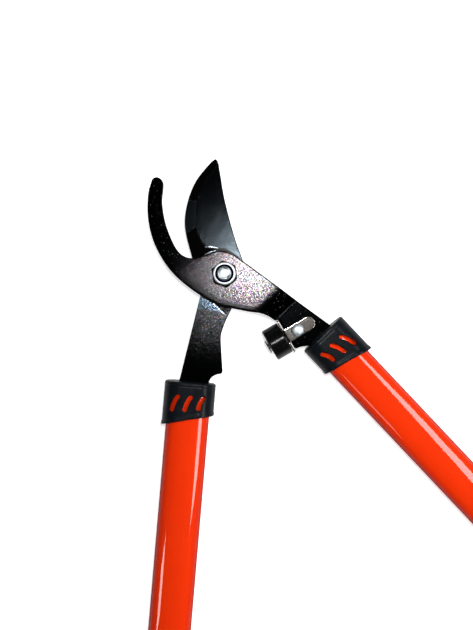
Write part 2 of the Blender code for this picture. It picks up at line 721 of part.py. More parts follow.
def make_tube(prefix, side, frame):
    start = tube_top
    end = handle_length - grip_end_wall - seat_gap
    outer = tube_rings(tube_width / 2, tube_depth / 2, (start, end))
    inner = tube_rings(tube_inner_half, tube_depth / 2 - tube_wall, (end, start))
    tube = place(prefix + "_handle_tube", ring_solid(outer + inner, close=True), frame,
                 orange_paint, 35)
    for name, (out, depth) in tang_rivet_places.items():
        for face in (1, -1):
            profile = countersunk(tang_rivet_diameter / 2 + hole_gap,
                                  tang_rivet_head / 2 + hole_gap,
                                  -tube_depth / 2, -tube_depth / 4, overrun)
            hole = cutter(f"{prefix}_tube_hole_{name}_{face}", turned(profile, 20), frame)
            hole.location = (side * out, -depth, 0)
            if face > 0:
                hole.rotation_euler = (math.pi, 0, 0)
            combine(tube, hole)


def make_plug(prefix, side, frame, thickness):
    rings = tube_rings(plug_half_width, plug_half_depth, (plug_start, plug_end))
    plug = place(prefix + "_tang_plug", ring_solid(rings), frame, white_nylon, 35)
    slot_half = tang_half + hole_gap
    depth = tang_depth + seat_gap
    slot = plate([(slot_half, -depth), (slot_half, 0), (-slot_half, 0), (-slot_half, -depth)],
                 -thickness / 2 - hole_gap, thickness / 2 + hole_gap)
    combine(plug, cutter(prefix + "_plug_slot", slot, frame))
    for name, (out, down_by) in tang_rivet_places.items():
        combine(plug, pin_cutter(f"{prefix}_plug_hole_{name}", tang_rivet_diameter / 2 + hole_gap,
                                 (side * out, -down_by), -tube_depth, tube_depth, frame))


def make_tang_rivets(prefix, side, frame):
    # countersunk at both faces of the tube, flush under the collar
    shank = tang_rivet_diameter / 2
    half = tube_depth / 2 - rivet_inset
    lower = countersunk(shank, tang_rivet_head / 2, -half, 0)[1:]
    upper = [(radius, -height) for radius, height in reversed(lower)]
    for name, (out, depth) in tang_rivet_places.items():
        rivet = place(f"{prefix}_tang_rivet_{name}", turned(upper[:-1] + lower[1:], 20), frame,
                      zinc, 35)
        rivet.location = (side * out, -depth, 0)


def collar_length(outwards):
    # depth of the collar's open end, a parabola through its three lengths
    reach = tube_width / 2 + seat_gap + collar_wall + collar_lip
    share = outwards / reach
    bend = (collar_outer_length + collar_inner_length) / 2 - collar_middle_length
    slant = (collar_outer_length - collar_inner_length) / 2
    return collar_middle_length + slant * share + bend * share ** 2


def window_outline(index, side):
    # slanted slot with round ends and a slight bow, as (x, y) points in the handle's frame
    length = window_lengths[index]
    start = Vector((window_start + index * window_pitch, -window_top))
    along = Vector((math.sin(window_slant), -math.cos(window_slant)))
    across = Vector((math.cos(window_slant), math.sin(window_slant)))
    steps = 4
    points = []
    for way in (1, -1):
        for i in range(steps + 1):
            share = i / steps if way > 0 else 1 - i / steps
            bow = window_bow * 4 * share * (1 - share)
            points.append(start + along * length * share
                          + across * (bow + way * window_width / 2))
        end = start + along * length * (way > 0)
        for turn in (45, 90, 135):
            angle = math.radians(turn)
            points.append(end + (across * math.cos(angle) + along * math.sin(angle))
                          * way * window_width / 2)
    return [(side * point.x, point.y) for point in points]


def make_collar(prefix, side, frame, thickness):
    inner_w = tube_width / 2 + seat_gap
    inner_d = tube_depth / 2 + seat_gap
    outer_w = inner_w + collar_wall
    outer_d = inner_d + collar_wall

    def foot(half_width, half_depth, back):
        return [(x, back - collar_length(side * x), z)
                for x, z in stadium(half_width, half_depth, flat_steps=8)]

    def level(inset, depth):
        return [(x, -depth, z)
                for x, z in stadium(outer_w - inset, outer_d - inset, flat_steps=8)]

    lip_w = outer_w + collar_lip
    lip_d = outer_d + collar_lip
    corner = collar_shoulder * (1 - math.sin(math.radians(45)))
    rings = [level(collar_shoulder, 0), level(corner, corner),
             level(0, collar_shoulder), foot(outer_w, outer_d, collar_lip_length),
             foot(lip_w, lip_d, collar_lip_length / 2), foot(lip_w, lip_d, collar_foot),
             foot(lip_w - collar_foot, lip_d - collar_foot, 0), foot(inner_w, inner_d, 0),
             [(x, -collar_top_wall, z) for x, z in stadium(inner_w, inner_d, flat_steps=8)]]
    collar = place(prefix + "_collar", ring_solid(rings), frame, black_plastic, 35)
    slot_inner = -side * (heel + hole_gap)
    slot_outer = side * (tang_half - shoulder_step + shoulder_allowance + hole_gap)
    low, high = sorted((slot_inner, slot_outer))
    top = collar_top_wall * 2
    slot = plate([(low, -top), (high, -top), (high, top), (low, top)],
                 -thickness / 2 - hole_gap, thickness / 2 + hole_gap)
    combine(collar, cutter(prefix + "_collar_slot", slot, frame))
    for index in range(len(window_lengths)):
        window = plate(window_outline(index, side), -2 * outer_d, 2 * outer_d)
        combine(collar, cutter(f"{prefix}_window_{index}", window, frame))


def make_grip(prefix, frame):
    inner_w = tube_width / 2 + seat_gap
    inner_d = tube_depth / 2 + seat_gap
    start = handle_length - grip_length
    end = handle_length
    bead = grip_bead_length
    ease = grip_bead - grip_wall
    corner = grip_end_round * (1 - math.sin(math.radians(45)))
    outside = [(start, grip_bead - ease), (start + ease, grip_bead), (start + bead, grip_bead),
               (start + bead + 2 * ease, grip_wall), (end - bead - 2 * ease, grip_wall),
               (end - bead, grip_bead), (end - grip_end_round, grip_bead),
               (end - corner, grip_bead - corner), (end, grip_bead - grip_end_round)]
    rings = [[(x, -(end - grip_end_wall), z) for x, z in stadium(inner_w, inner_d)],
             [(x, -start, z) for x, z in stadium(inner_w, inner_d)]]
    for depth, wall in outside:
        rings.append([(x, -depth, z) for x, z in stadium(inner_w + wall, inner_d + wall)])
    place(prefix + "_grip", ring_solid(rings), frame, black_plastic, 35)


def make_handle(prefix, side, offset, half, thickness):
    middle = Matrix.Translation((side * offset, -collar_drop, handle_z))
    frame = empty(prefix + "_handle", half, middle)
    make_tube(prefix, side, frame)
    make_plug(prefix, side, frame, thickness)
    make_tang_rivets(prefix, side, frame)
    make_collar(prefix, side, frame, thickness)
    make_grip(prefix, frame)


for old in list(bpy.data.objects):
    bpy.data.objects.remove(old, do_unlink=True)

lift = Matrix.Translation((0, 0, -bench))
hook_half = empty("hook_half", None, lift @ Matrix.Rotation(half_angle, 4, "Z"))
cutting_half = empty("cutting_half", None, lift @ Matrix.Rotation(-half_angle, 4, "Z"))
make_hook(hook_half)
make_blade(cutting_half)
make_pivot(cutting_half)
make_bumper(empty("bumper_axis", hook_half, bumper_frame()))
make_handle("right", 1, right_offset, hook_half, hook_thickness)
make_handle("left", -1, left_offset, cutting_half, blade_thickness)
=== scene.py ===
import json
import math

import bmesh
import bpy
import numpy as np
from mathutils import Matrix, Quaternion, Vector


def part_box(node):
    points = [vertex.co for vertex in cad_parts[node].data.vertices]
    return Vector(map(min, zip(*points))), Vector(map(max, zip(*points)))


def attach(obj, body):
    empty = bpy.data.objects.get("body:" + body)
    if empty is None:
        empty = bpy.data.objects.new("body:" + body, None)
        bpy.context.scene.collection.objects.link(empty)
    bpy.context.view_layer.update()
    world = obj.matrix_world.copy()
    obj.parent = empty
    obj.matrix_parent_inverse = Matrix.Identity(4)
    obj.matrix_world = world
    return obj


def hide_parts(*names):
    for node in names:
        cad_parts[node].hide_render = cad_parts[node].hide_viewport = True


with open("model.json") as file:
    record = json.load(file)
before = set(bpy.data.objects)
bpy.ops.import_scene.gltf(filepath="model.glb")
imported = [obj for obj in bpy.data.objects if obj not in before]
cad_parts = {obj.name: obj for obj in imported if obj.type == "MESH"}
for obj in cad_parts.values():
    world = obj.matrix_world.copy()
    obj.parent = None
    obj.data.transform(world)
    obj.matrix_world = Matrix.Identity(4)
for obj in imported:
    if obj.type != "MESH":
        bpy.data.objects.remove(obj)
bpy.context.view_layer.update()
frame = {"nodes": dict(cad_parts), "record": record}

# The looks of a bypass lopper that lies half open on a pale floor, seen from above.
# Every new surface is worked out in its own half's frame, where that half's handle points
# along -Y and the pivot is at x = y = 0, and is then turned about the pivot to its place.
# Lengths in the dictionaries are in millimetres.

mm = 0.001

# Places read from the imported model
gripFace = next(m for m in frame["record"]["mounts"] if m["name"] == "right_grip_end")
halfAngle = math.atan2(gripFace["axis"][0], -gripFace["axis"][1])  # handle from the -Y axis
handleZ = gripFace["pos_m"][2] / mm
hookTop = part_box("hook_blade")[1][2] / mm
bladeLow, bladeTop = (corner[2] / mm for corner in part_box("cutting_blade"))
halfTurns = {"hook_half": halfAngle, "cutting_half": -halfAngle}
print("frame: half angle", round(math.degrees(halfAngle), 2), "handle height", round(handleZ, 2))


# Lines and outlines, as arrays of (x, y)

def throughPoints(points, steps=24):
    # smooth line through the points: every span is a cubic whose pace goes with the root of
    # the distance between its points, so that it never overshoots
    p = np.array(points, float)
    p = np.vstack([2 * p[0] - p[1], p, 2 * p[-1] - p[-2]])
    a, b, c, d = (p[i:len(p) - 3 + i, None] for i in range(4))
    pace = [np.sqrt(np.linalg.norm(q - r, axis=2, keepdims=True)) for r, q in ((a, b), (b, c), (c, d))]
    ta = 0 * pace[0]
    tb, tc, td = pace[0], pace[0] + pace[1], pace[0] + pace[1] + pace[2]
    t = tb + (tc - tb) * (np.arange(steps) / steps)[None, :, None]

    def between(q, r, tq, tr):
        return ((tr - t) * q + (t - tq) * r) / (tr - tq)

    ab, bc, cd = between(a, b, ta, tb), between(b, c, tb, tc), between(c, d, tc, td)
    abc, bcd = between(ab, bc, ta, tc), between(bc, cd, tb, td)
    line = between(abc, bcd, tb, tc).reshape(-1, p.shape[1])
    return np.vstack([line, p[-2]])


def evenly(line, count):
    # the same line as count points at equal distances along it
    line = np.asarray(line, float)
    run = np.concatenate([[0], np.cumsum(np.linalg.norm(np.diff(line, axis=0), axis=1))])
    at = np.linspace(0, run[-1], count)
    return np.stack([np.interp(at, run, axis) for axis in line.T], axis=1)


def softened(line, spread, closed=False):
    # corners rounded: each point becomes the bell-weighted mean of its neighbours, with the
    # spread counted in points
    reach = int(3 * spread) + 1
    weights = np.exp(-0.5 * (np.arange(-reach, reach + 1) / spread) ** 2)
    weights /= weights.sum()
    if closed:
        padded = np.concatenate([line[-reach:], line, line[:reach]])
    else:
        before = 2 * line[0] - line[reach:0:-1]
        after = 2 * line[-1] - line[-2:-reach - 2:-1]
        padded = np.concatenate([before, line, after])
    return np.stack([np.convolve(axis, weights, "valid") for axis in padded.T], axis=1)


def filleted(points, spacing, spread, closed=False):
    # a profile resampled at the spacing, with its corners rounded over about the spread
    points = np.array(points, float)
    if closed:
        points = np.vstack([points, points[0]])
    length = np.linalg.norm(np.diff(points, axis=0), axis=1).sum()
    line = evenly(points, int(length / spacing) + 2)
    return softened(line[:-1] if closed else line, spread / spacing, closed)


def outwards(loop):
    # unit normal at each point of a closed outline: the tangent turned a quarter turn, away
    # from the side on which the outline's area lies
    following = np.roll(loop, -1, axis=0)
    tangent = following - np.roll(loop, 1, axis=0)
    tangent /= np.linalg.norm(tangent, axis=1, keepdims=True) + 1e-12
    area = np.sum(loop[:, 0] * following[:, 1] - loop[:, 1] * following[:, 0])
    return np.sign(area) * np.stack([tangent[:, 1], -tangent[:, 0]], axis=1)


def inside(points, loop):
    # crossing count: whether each point lies within the closed outline
    x, y = points[..., 0].ravel(), points[..., 1].ravel()
    result = np.zeros(x.shape, bool)
    a, b = loop, np.roll(loop, -1, axis=0)
    for start in range(0, len(x), 4000):  # in slices, to keep the tables small
        px, py = x[start:start + 4000, None], y[start:start + 4000, None]
        straddles = (a[:, 1] > py) != (b[:, 1] > py)
        crossing = a[:, 0] + (py - a[:, 1]) * (b[:, 0] - a[:, 0]) / (b[:, 1] - a[:, 1] + 1e-12)
        result[start:start + 4000] = (straddles & (px < crossing)).sum(axis=1) % 2 == 1
    return result.reshape(points.shape[:-1])


def distanceTo(points, line):
    # distance from each point to the nearest point of a finely stepped line
    flat = points.reshape(-1, 2)
    result = np.empty(len(flat))
    for start in range(0, len(flat), 4000):
        apart = flat[start:start + 4000, None] - line[None]
        result[start:start + 4000] = np.sqrt((apart ** 2).sum(axis=2).min(axis=1))
    return result.reshape(points.shape[:-1])


def smoothStep(value, low, high):
    # 0 below low, 1 above high and an S-curve between
    t = np.clip((value - low) / (high - low), 0, 1)
    return t * t * (3 - 2 * t)


# Meshes from grids

def around(columns):
    # angles of that many points round a full turn
    return np.arange(columns) * 2 * math.pi / columns


def turnedAndLifted(points, turn, centre=(0, 0, 0)):
    # points moved by the centre, then turned about the pivot's axis
    x, y, z = (points[..., i] + centre[i] for i in range(3))
    c, s = math.cos(turn), math.sin(turn)
    return np.stack([x * c - y * s, x * s + y * c, z], axis=-1)


def asObject(name, mesh):
    # an object for a mesh, not yet part of the lopper
    thing = bpy.data.objects.new(name, mesh)
    bpy.context.collection.objects.link(thing)
    return thing


def surface(name, grid, ring=False):
    # an object from a grid of points: each cell is a face, the columns close on themselves, so
    # do the rows of a ring, and rows that have shrunk to a point or a line are merged
    rows, columns = grid.shape[:2]
    index = np.arange(rows * columns).reshape(rows, columns)
    nextRow = np.roll(index, -1, axis=0) if ring else index[1:]
    index = index if ring else index[:-1]
    right, nextRight = (np.roll(part, -1, axis=1) for part in (index, nextRow))
    faces = np.stack([index, right, nextRight, nextRow], axis=-1).reshape(-1, 4)
    mesh = bpy.data.meshes.new(name)
    mesh.vertices.add(rows * columns)
    mesh.vertices.foreach_set("co", (grid * mm).ravel())
    mesh.loops.add(faces.size)
    mesh.loops.foreach_set("vertex_index", faces.ravel().astype(np.int32))
    mesh.polygons.add(len(faces))
    mesh.polygons.foreach_set("loop_start", np.arange(0, faces.size, 4, dtype=np.int32))
    mesh.update(calc_edges=True)
    work = bmesh.new()
    work.from_mesh(mesh)
    bmesh.ops.remove_doubles(work, verts=work.verts, dist=1e-6)
    bmesh.ops.dissolve_degenerate(work, edges=work.edges, dist=1e-7)
    bmesh.ops.recalc_face_normals(work, faces=work.faces)
    work.to_mesh(mesh)
    work.free()
    return asObject(name, mesh)


def rowsAround(rows, angle, low=0.0):
    # rows of (radius, height), each a number or a value for every angle, turned about Z
    radius, height = (np.array([row[i] + 0 * angle for row in rows]) for i in (0, 1))
    return np.stack([radius * np.cos(angle), radius * np.sin(angle), height + low], axis=-1)


def lathe(profile, columns):
    # (radius, height) profile turned about Z
    angle = around(columns)
    radius, height = np.abs(profile[:, :1]), profile[:, 1:] + 0 * angle
    return np.stack([radius * np.cos(angle), radius * np.sin(angle), height], axis=-1)


def rod(name, radius, centre, turn, columns=48, low=-5.0, high=40.0):
    # plain round cutter along Z
    grid = rowsAround([(0, low), (radius, low), (radius, high), (0, high)], around(columns))
    return surface(name, turnedAndLifted(grid, turn, (*centre, 0)))


def cutBy(piece, cutters):
    # takes the cutters out of the piece, keeps the result as its mesh and drops the cutters
    for cutter in cutters:
        step = piece.modifiers.new(cutter.name, "BOOLEAN")
        step.solver = "EXACT"
        step.object = cutter
    shown = piece.evaluated_get(bpy.context.evaluated_depsgraph_get())
    piece.data = bpy.data.meshes.new_from_object(shown)
    piece.modifiers.clear()
    for cutter in cutters:
        bpy.data.objects.remove(cutter, do_unlink=True)


def pointsOf(piece, turn=0.0):
    # a piece's points in millimetres, turned back into its half's frame
    flat = np.empty(len(piece.data.vertices) * 3)
    piece.data.vertices.foreach_get("co", flat)
    return turnedAndLifted(flat.reshape(-1, 3) / mm, -turn)


def layer(piece, name, values):
    # one value for each vertex, for the piece's material to read
    made = piece.data.attributes.new(name, "FLOAT", "POINT")
    made.data.foreach_set("value", values.astype(np.float32))


def finishPiece(piece, body, node, material, sharp=38):
    # shades and dresses a finished piece, hangs it on its body and hides the part it stands for
    mesh = piece.data
    mesh.materials.clear()
    mesh.materials.append(material)
    mesh.shade_smooth()
    mesh.set_sharp_from_angle(angle=math.radians(sharp))
    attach(piece, body)
    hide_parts(node)
    print(piece.name, len(mesh.polygons), "faces")
    return piece


# Shader sheets: sums on wires add Math nodes

class Wire:
    # one value among the nodes; numbers and wires mix freely in a sum
    def __init__(self, sheet, socket):
        self.sheet, self.socket = sheet, socket

    def math(self, operation, first, second):
        return self.sheet.add("ShaderNodeMath", {"operation": operation}, {0: first, 1: second})

    def __add__(self, other):
        return self.math("ADD", self, other)

    def __sub__(self, other):
        return self.math("SUBTRACT", self, other)

    def __mul__(self, other):
        return self.math("MULTIPLY", self, other)

    def __radd__(self, other):
        return self.math("ADD", other, self)

    def __rsub__(self, other):
        return self.math("SUBTRACT", other, self)

    def __rmul__(self, other):
        return self.math("MULTIPLY", other, self)

    def orMore(self, other):
        # the larger of the two
        return self.math("MAXIMUM", self, other)

    def step(self, low, high, start=0.0, end=1.0):
        # start below low, end above high, an S-curve between
        return self.sheet.add("ShaderNodeMapRange", {"interpolation_type": "SMOOTHSTEP"},
                              {"Value": self, "From Min": low, "From Max": high,
                               "To Min": start, "To Max": end})


class Sheet:
    # the nodes of a material or of the world, and the shader that they end at
    def __init__(self, owner, **inputs):
        owner.use_nodes = True
        self.owner, self.tree = owner, owner.node_tree
        shaders = ("BSDF_PRINCIPLED", "BACKGROUND")
        self.shader = next(node for node in self.tree.nodes if node.type in shaders)
        self.set(**inputs)

    def link(self, socket, value):
        if isinstance(value, Wire):
            self.tree.links.new(value.socket, socket)
        elif isinstance(value, tuple) and socket.type == "RGBA":
            socket.default_value = (*value, 1)
        else:
            socket.default_value = value

    def add(self, kind, settings=None, inputs=None, output=0):
        node = self.tree.nodes.new(kind)
        for key, value in (settings or {}).items():
            setattr(node, key, value)
        for key, value in (inputs or {}).items():
            self.link(node.inputs[key], value)
        return Wire(self, node.outputs[output])

    def set(self, **inputs):
        for key, value in inputs.items():
            self.link(self.shader.inputs[key.replace("_", " ")], value)

    def place(self, turn=0.0, stretch=(1, 1, 1)):
        # Object coordinates turned about the pivot and stretched
        coords = self.add("ShaderNodeTexCoord", output="Object")
        if turn == 0 and stretch == (1, 1, 1):
            return coords
        turned = self.add("ShaderNodeMapping", {"vector_type": "POINT"},
                          {"Vector": coords, "Rotation": (0, 0, -turn)})
        return self.product(turned, stretch)

    def product(self, first, second):
        # two vectors or colours multiplied part by part
        return self.add("ShaderNodeVectorMath", {"operation": "MULTIPLY"}, {0: first, 1: second})

    def noise(self, size, detail=2.0, roughness=0.5, at=None):
        # cloudy value about 0.5 whose lumps are about as large as the size in millimetres
        return self.add("ShaderNodeTexNoise", {},
                        {"Vector": at or self.place(), "Scale": 1 / (size * mm), "Detail": detail,
                         "Roughness": roughness})

    def cells(self, size, output="Distance"):
        # cells about as large as the size: the distance to each one's middle, or its colour
        return self.add("ShaderNodeTexVoronoi", {},
                        {"Vector": self.place(), "Scale": 1 / (size * mm)}, output)

    def mix(self, first, second, share):
        # colour between two colours
        return self.add("ShaderNodeMix", {"data_type": "RGBA"}, {0: share, 6: first, 7: second}, 2)

    def bump(self, height, depth, strength=1.0, normal=None):
        # height from 0 to 1 stands for a depth in millimetres
        inputs = {"Height": height, "Distance": depth * mm, "Strength": strength}
        if normal:
            inputs["Normal"] = normal
        return self.add("ShaderNodeBump", {}, inputs)

    def attribute(self, name):
        return self.add("ShaderNodeAttribute", {"attribute_name": name}, {}, "Fac")


def sheetFor(name, **inputs):
    # the sheet of a new material
    return Sheet(bpy.data.materials.new(name), **inputs)


def flakedCoat(s, flake, paintedShade):
    # black coat full of fine dull flakes: the lumps of one noise, each as strong as a second
    # noise says and tinted by its cell, with fewer and weaker ones where the painted shade lies.
    # Gives the colour and the height
    look = {"base": (0.0008, 0.001, 0.0011), "size": 0.6, "cell": 0.85, "tint": 0.3,
            "fewer": 0.3, "weakest": 0.45, "stronger": 1.1, "grain": 0.7}
    lumps = s.noise(look["size"], 1.0, 0.7) - paintedShade * look["fewer"]
    amount = lumps.step(0.38, 0.62) * (1 - paintedShade)
    cell = s.cells(look["cell"], "Color")
    uneven = s.noise(look["cell"] * 0.8, 0.0).step(0.15, 0.85)
    strength = look["weakest"] + uneven * look["stronger"]
    tinted = s.product(s.mix((0.5, 0.5, 0.5), cell, look["tint"]), tuple(2 * part for part in flake))
    return s.mix(look["base"], tinted, amount * strength), s.noise(look["grain"], 1.0, 0.7)


def powderCoat():
    # the hook: flaked coat with a few specks of dust, painted shade along the horn and the tang, and a
    # painted highlight along the tang's crease
    look = {"flake": (0.0395, 0.0362, 0.0388), "creaseHighlight": (0.045, 0.047, 0.05),
            "dust": (0.16, 0.16, 0.15), "dustSize": 0.85, "metal": 0.95, "rough": 0.16, "relief": 0.028}
    s = sheetFor("powderCoat", Specular_IOR_Level=0.05)
    paintedShade = s.attribute("paintedShade")
    colour, height = flakedCoat(s, look["flake"], paintedShade)
    dust = (s.noise(look["dustSize"], 0.0) + paintedShade * 0.03).step(0.81, 0.84)
    # painted highlight: a pale line along the tang's crease
    line = s.attribute("creaseHighlight") * (0.6 + s.noise(1.2) * 0.8)
    colour = s.mix(s.mix(colour, look["creaseHighlight"], line), look["dust"], dust)
    s.set(Base_Color=colour, Metallic=(1 - dust) * (1 - line) * look["metal"])
    s.set(Roughness=look["rough"] + height * 0.02, Normal=s.bump(height, look["relief"]))
    return s.owner


def bladeSteel():
    # dark satin steel with a fine lay across the blade, duller where ground, black and glossy in
    # places on the bevel, darkened towards the tip and down the tang by painted shade, with flaked
    # coat past the ground line of the tang, grease squeezed out from under the hook that is also
    # painted shade along the hook's edges, and a painted highlight along the grease's rims
    look = {"face": (0.0135, 0.0168, 0.0194), "worn": (0.005, 0.0066, 0.008),
            "ground": (0.05, 0.066, 0.076), "black": (0.0012, 0.0012, 0.0013),
            "bare": (0.036, 0.052, 0.069), "paintedHighlight": (0.3, 0.35, 0.4), "speck": (0.06, 0.063, 0.06),
            "flake": (0.031, 0.0315, 0.034), "metal": 0.95, "faceRough": 0.102, "groundRough": 0.12,
            "coatRough": 0.165, "greaseRough": 0.09, "layDepth": 0.036, "relief": 0.045}
    s = sheetFor("bladeSteel", Specular_IOR_Level=0.05)
    black, coat, bare, greaseAndShade = (s.attribute(name) for name in ("black", "coat", "bare", "greaseAndShade"))
    rim, paintedShade, ground = (s.attribute(name) for name in ("paintedHighlight", "paintedShade", "ground"))
    coated, height = flakedCoat(s, look["flake"], paintedShade)
    fine = s.noise(0.6, 2.0, 0.6)
    cloud = s.noise(7.0, 3.0)
    lay = s.noise(0.5, 2.0, 0.5, s.place(halfTurns["cutting_half"], (0.15, 1, 1)))
    paintedHighlight = rim * s.noise(1.1, 1.0).step(0.42, 0.52)
    speck = (black * (1 - black) * 4).step(0.3, 0.9) * s.noise(0.8, 0.0).step(0.6, 0.66)
    dark = black.orMore(greaseAndShade)

    worn = (cloud * 0.4 + lay * 0.3 + fine * 0.3).step(0.3, 0.7)
    face = s.mix(s.mix(look["face"], look["worn"], worn), look["ground"], ground * (0.4 + lay))
    # painted shade: the face darkens towards the tip and down the tang
    face = s.mix(s.mix(face, look["black"], paintedShade), look["bare"], bare)
    # black gloss of the bevel, and the grease that is also painted shade beside the hook
    face = s.mix(s.mix(face, coated, coat), look["black"], dark)
    # painted highlight: bright metal lines along the grease's rims
    s.set(Base_Color=s.mix(s.mix(face, look["speck"], speck), look["paintedHighlight"], paintedHighlight))
    s.set(Metallic=(look["metal"] * (1 - dark) * (1 - speck)).orMore(paintedHighlight))
    bareRough = look["faceRough"] + fine * 0.012 + ground * look["groundRough"]
    rough = bareRough * (1 - coat) + (look["coatRough"] + height * 0.02) * coat
    s.set(Roughness=rough * (1 - dark) + look["greaseRough"] * dark + paintedHighlight * 0.2)
    wet = s.bump(s.noise(1.3, 2.0), 0.02, greaseAndShade)
    marks = s.bump(lay, look["layDepth"], 0.8, wet)
    s.set(Normal=s.bump(fine * 0.8 * (1 - coat) + height * coat, look["relief"], 1.0, marks))
    return s.owner


def orangePaint():
    # glossy enamel over steel tube: slight waviness, dust specks and cloudy tone, with painted
    # shade along the tube's narrow sides: a darker colour and less coat there
    look = {"colour": (0.98, 0.04, 0.0012), "deep": (0.92, 0.032, 0.001),
            "side": (0.42, 0.008, 0.0004), "speck": (0.4, 0.016, 0.001), "rough": 0.5}
    s = sheetFor("orangePaint", Coat_Roughness=0.05, Coat_IOR=1.47, Specular_IOR_Level=0.02)
    side = s.attribute("side")
    cloud = s.noise(26.0, 3.0)
    speck = s.noise(0.8, 1.0).step(0.74, 0.8)
    tone = s.mix(s.mix(look["colour"], look["deep"], cloud), look["side"], side)
    s.set(Base_Color=s.mix(tone, look["speck"], speck))
    s.set(Roughness=look["rough"] + cloud * 0.08, Coat_Weight=(1 - speck * 0.3) * (1 - side))
    wave = s.bump(s.noise(9.0, 1.0), 0.03, 0.25)
    s.set(Normal=s.bump(s.noise(0.9, 2.0), 0.004, 0.4, wave))
    return s.owner


def collarPlastic():
    # matte black moulding with a fine spark-eroded grain
    look = {"colour": (0.0035, 0.0055, 0.0078), "worn": (0.009, 0.0125, 0.016), "rough": 0.36,
            "gloss": 0.06, "grain": 0.7, "relief": 0.05}
    s = sheetFor("collarPlastic", Specular_IOR_Level=0.03, Coat_Roughness=0.24)
    grain = s.noise(look["grain"], 2.0, 0.6)
    cloud = s.noise(6.0, 3.0)
    tone = (cloud * 0.5 + grain * 0.5).step(0.45, 0.7)
    s.set(Base_Color=s.mix(look["colour"], look["worn"], tone))
    s.set(Roughness=look["rough"] + cloud * 0.1 + grain * 0.06, Coat_Weight=look["gloss"] + cloud * 0.12)
    s.set(Normal=s.bump(grain, look["relief"]))
    return s.owner


def zincPlate(name, colour, rough, blotch=0.3, relief=0.006):
    # plated steel: cloudy tone, fine grain and small scratches, and painted shade where the
    # piece's own layer says so
    look = {"paintedLowShade": (0.012, 0.016, 0.017), "darker": 0.4, "scratchDepth": 0.006}
    s = sheetFor(name, Metallic=1.0)
    cloud = s.noise(2.2, 3.0)
    grain = s.noise(0.6, 1.0, 0.7)
    scratch = s.noise(0.12, 1.0, 0.5, s.place(0.7, (1, 0.04, 1))).step(0.62, 0.7)
    patches = cloud.step(0.35, 0.8) * blotch + grain.step(0.5, 0.7) * blotch
    metal = s.mix(colour, tuple(look["darker"] * part for part in colour), patches)
    s.set(Base_Color=s.mix(metal, look["paintedLowShade"], s.attribute("paintedLowShade") * (0.8 + cloud * 0.4)))
    s.set(Roughness=rough + cloud * 0.05 + grain * 0.03 - scratch * 0.02)
    s.set(Normal=s.bump(grain, relief, 0.7, s.bump(scratch, look["scratchDepth"], 0.4)))
    return s.owner


def cushionRubber():
    # smooth glossy black rubber
    look = {"colour": (0.003, 0.003, 0.0033), "pale": (0.007, 0.007, 0.0075), "rough": 0.13}
    s = sheetFor("cushionRubber", Specular_IOR_Level=0.12)
    cloud = s.noise(3.0, 3.0)
    grain = s.noise(0.3, 2.0)
    s.set(Base_Color=s.mix(look["colour"], look["pale"], cloud.step(0.5, 0.8)))
    s.set(Roughness=look["rough"] + cloud * 0.08 + grain * 0.04)
    s.set(Normal=s.bump(grain, 0.005, 0.5, s.bump(cloud, 0.03, 0.2)))
    return s.owner


def nylon(name, colour, dark):
    # slightly waxy plastic
    s = sheetFor(name, Specular_IOR_Level=0.12)
    cloud = s.noise(1.5, 2.0)
    s.set(Base_Color=s.mix(colour, dark, cloud), Roughness=0.5 + cloud * 0.12)
    s.set(Normal=s.bump(s.noise(0.3, 2.0), 0.01, 0.5))
    return s.owner


def gripVinyl():
    # soft black vinyl with a pebbled grain
    look = {"colour": (0.009, 0.009, 0.01), "pale": (0.018, 0.018, 0.019), "rough": 0.48,
            "pebble": 0.8, "relief": 0.04}
    s = sheetFor("gripVinyl", Specular_IOR_Level=0.35)
    pebble = s.cells(look["pebble"])
    cloud = s.noise(12.0, 3.0)
    s.set(Base_Color=s.mix(look["colour"], look["pale"], cloud.step(0.45, 0.85)))
    s.set(Roughness=look["rough"] + cloud * 0.12)
    s.set(Normal=s.bump(pebble, look["relief"], 0.5, s.bump(s.noise(0.25), 0.01, 0.4)))
    return s.owner


zincs = {"zincPlate": {"colour": (0.6, 0.62, 0.65), "rough": 0.09},
         "dullZinc": {"colour": (0.55, 0.51, 0.47), "rough": 0.07, "blotch": 0.5, "relief": 0.02},
         "domeZinc": {"colour": (0.58, 0.64, 0.68), "rough": 0.46, "blotch": 0.25},
         "darkZinc": {"colour": (0.1, 0.1, 0.11), "rough": 0.2, "blotch": 0.4},
         "nutZinc": {"colour": (0.5, 0.53, 0.54), "rough": 0.4, "relief": 0.02},
         "endZinc": {"colour": (0.3, 0.335, 0.35), "rough": 0.36, "blotch": 0.4, "relief": 0.02}}
coat, steel, paint, moulding = powderCoat(), bladeSteel(), orangePaint(), collarPlastic()
zinc = {name: zincPlate(name, **look) for name, look in zincs.items()}
blueNylon = nylon("blueNylon", (0.002, 0.003, 0.028), (0.001, 0.001, 0.01))
whiteNylon = nylon("whiteNylon", (0.62, 0.62, 0.58), (0.5, 0.5, 0.47))
rubber, vinyl = cushionRubber(), gripVinyl()
print("materials made:", len(bpy.data.materials))


# Plates

def roundedRim(width, depth, low, high, steps=6):
    # (inset, height) across a rim: a quarter ellipse at each face and a straight wall between
    turn = np.linspace(0, math.pi / 2, steps)
    inset, drop = width * (1 - np.sin(turn)), depth * (1 - np.cos(turn))
    return np.stack([np.concatenate([inset, inset[::-1]]),
                     np.concatenate([high - drop, (low + drop)[::-1]])], axis=1)


def plateSides(sideA, sideB, spread):
    # joins the two sides, which share their first and last points, into one outline, rounds
    # its corners and returns both sides and their outward normals
    count = len(sideA)
    loop = np.concatenate([sideA[:-1], sideB[:0:-1]])
    loop = softened(loop, spread, closed=True)
    normal = outwards(loop)
    back = np.concatenate([[0], np.arange(len(loop) - 1, count - 2, -1)])
    return loop[:count], loop[back], normal[:count], normal[back]


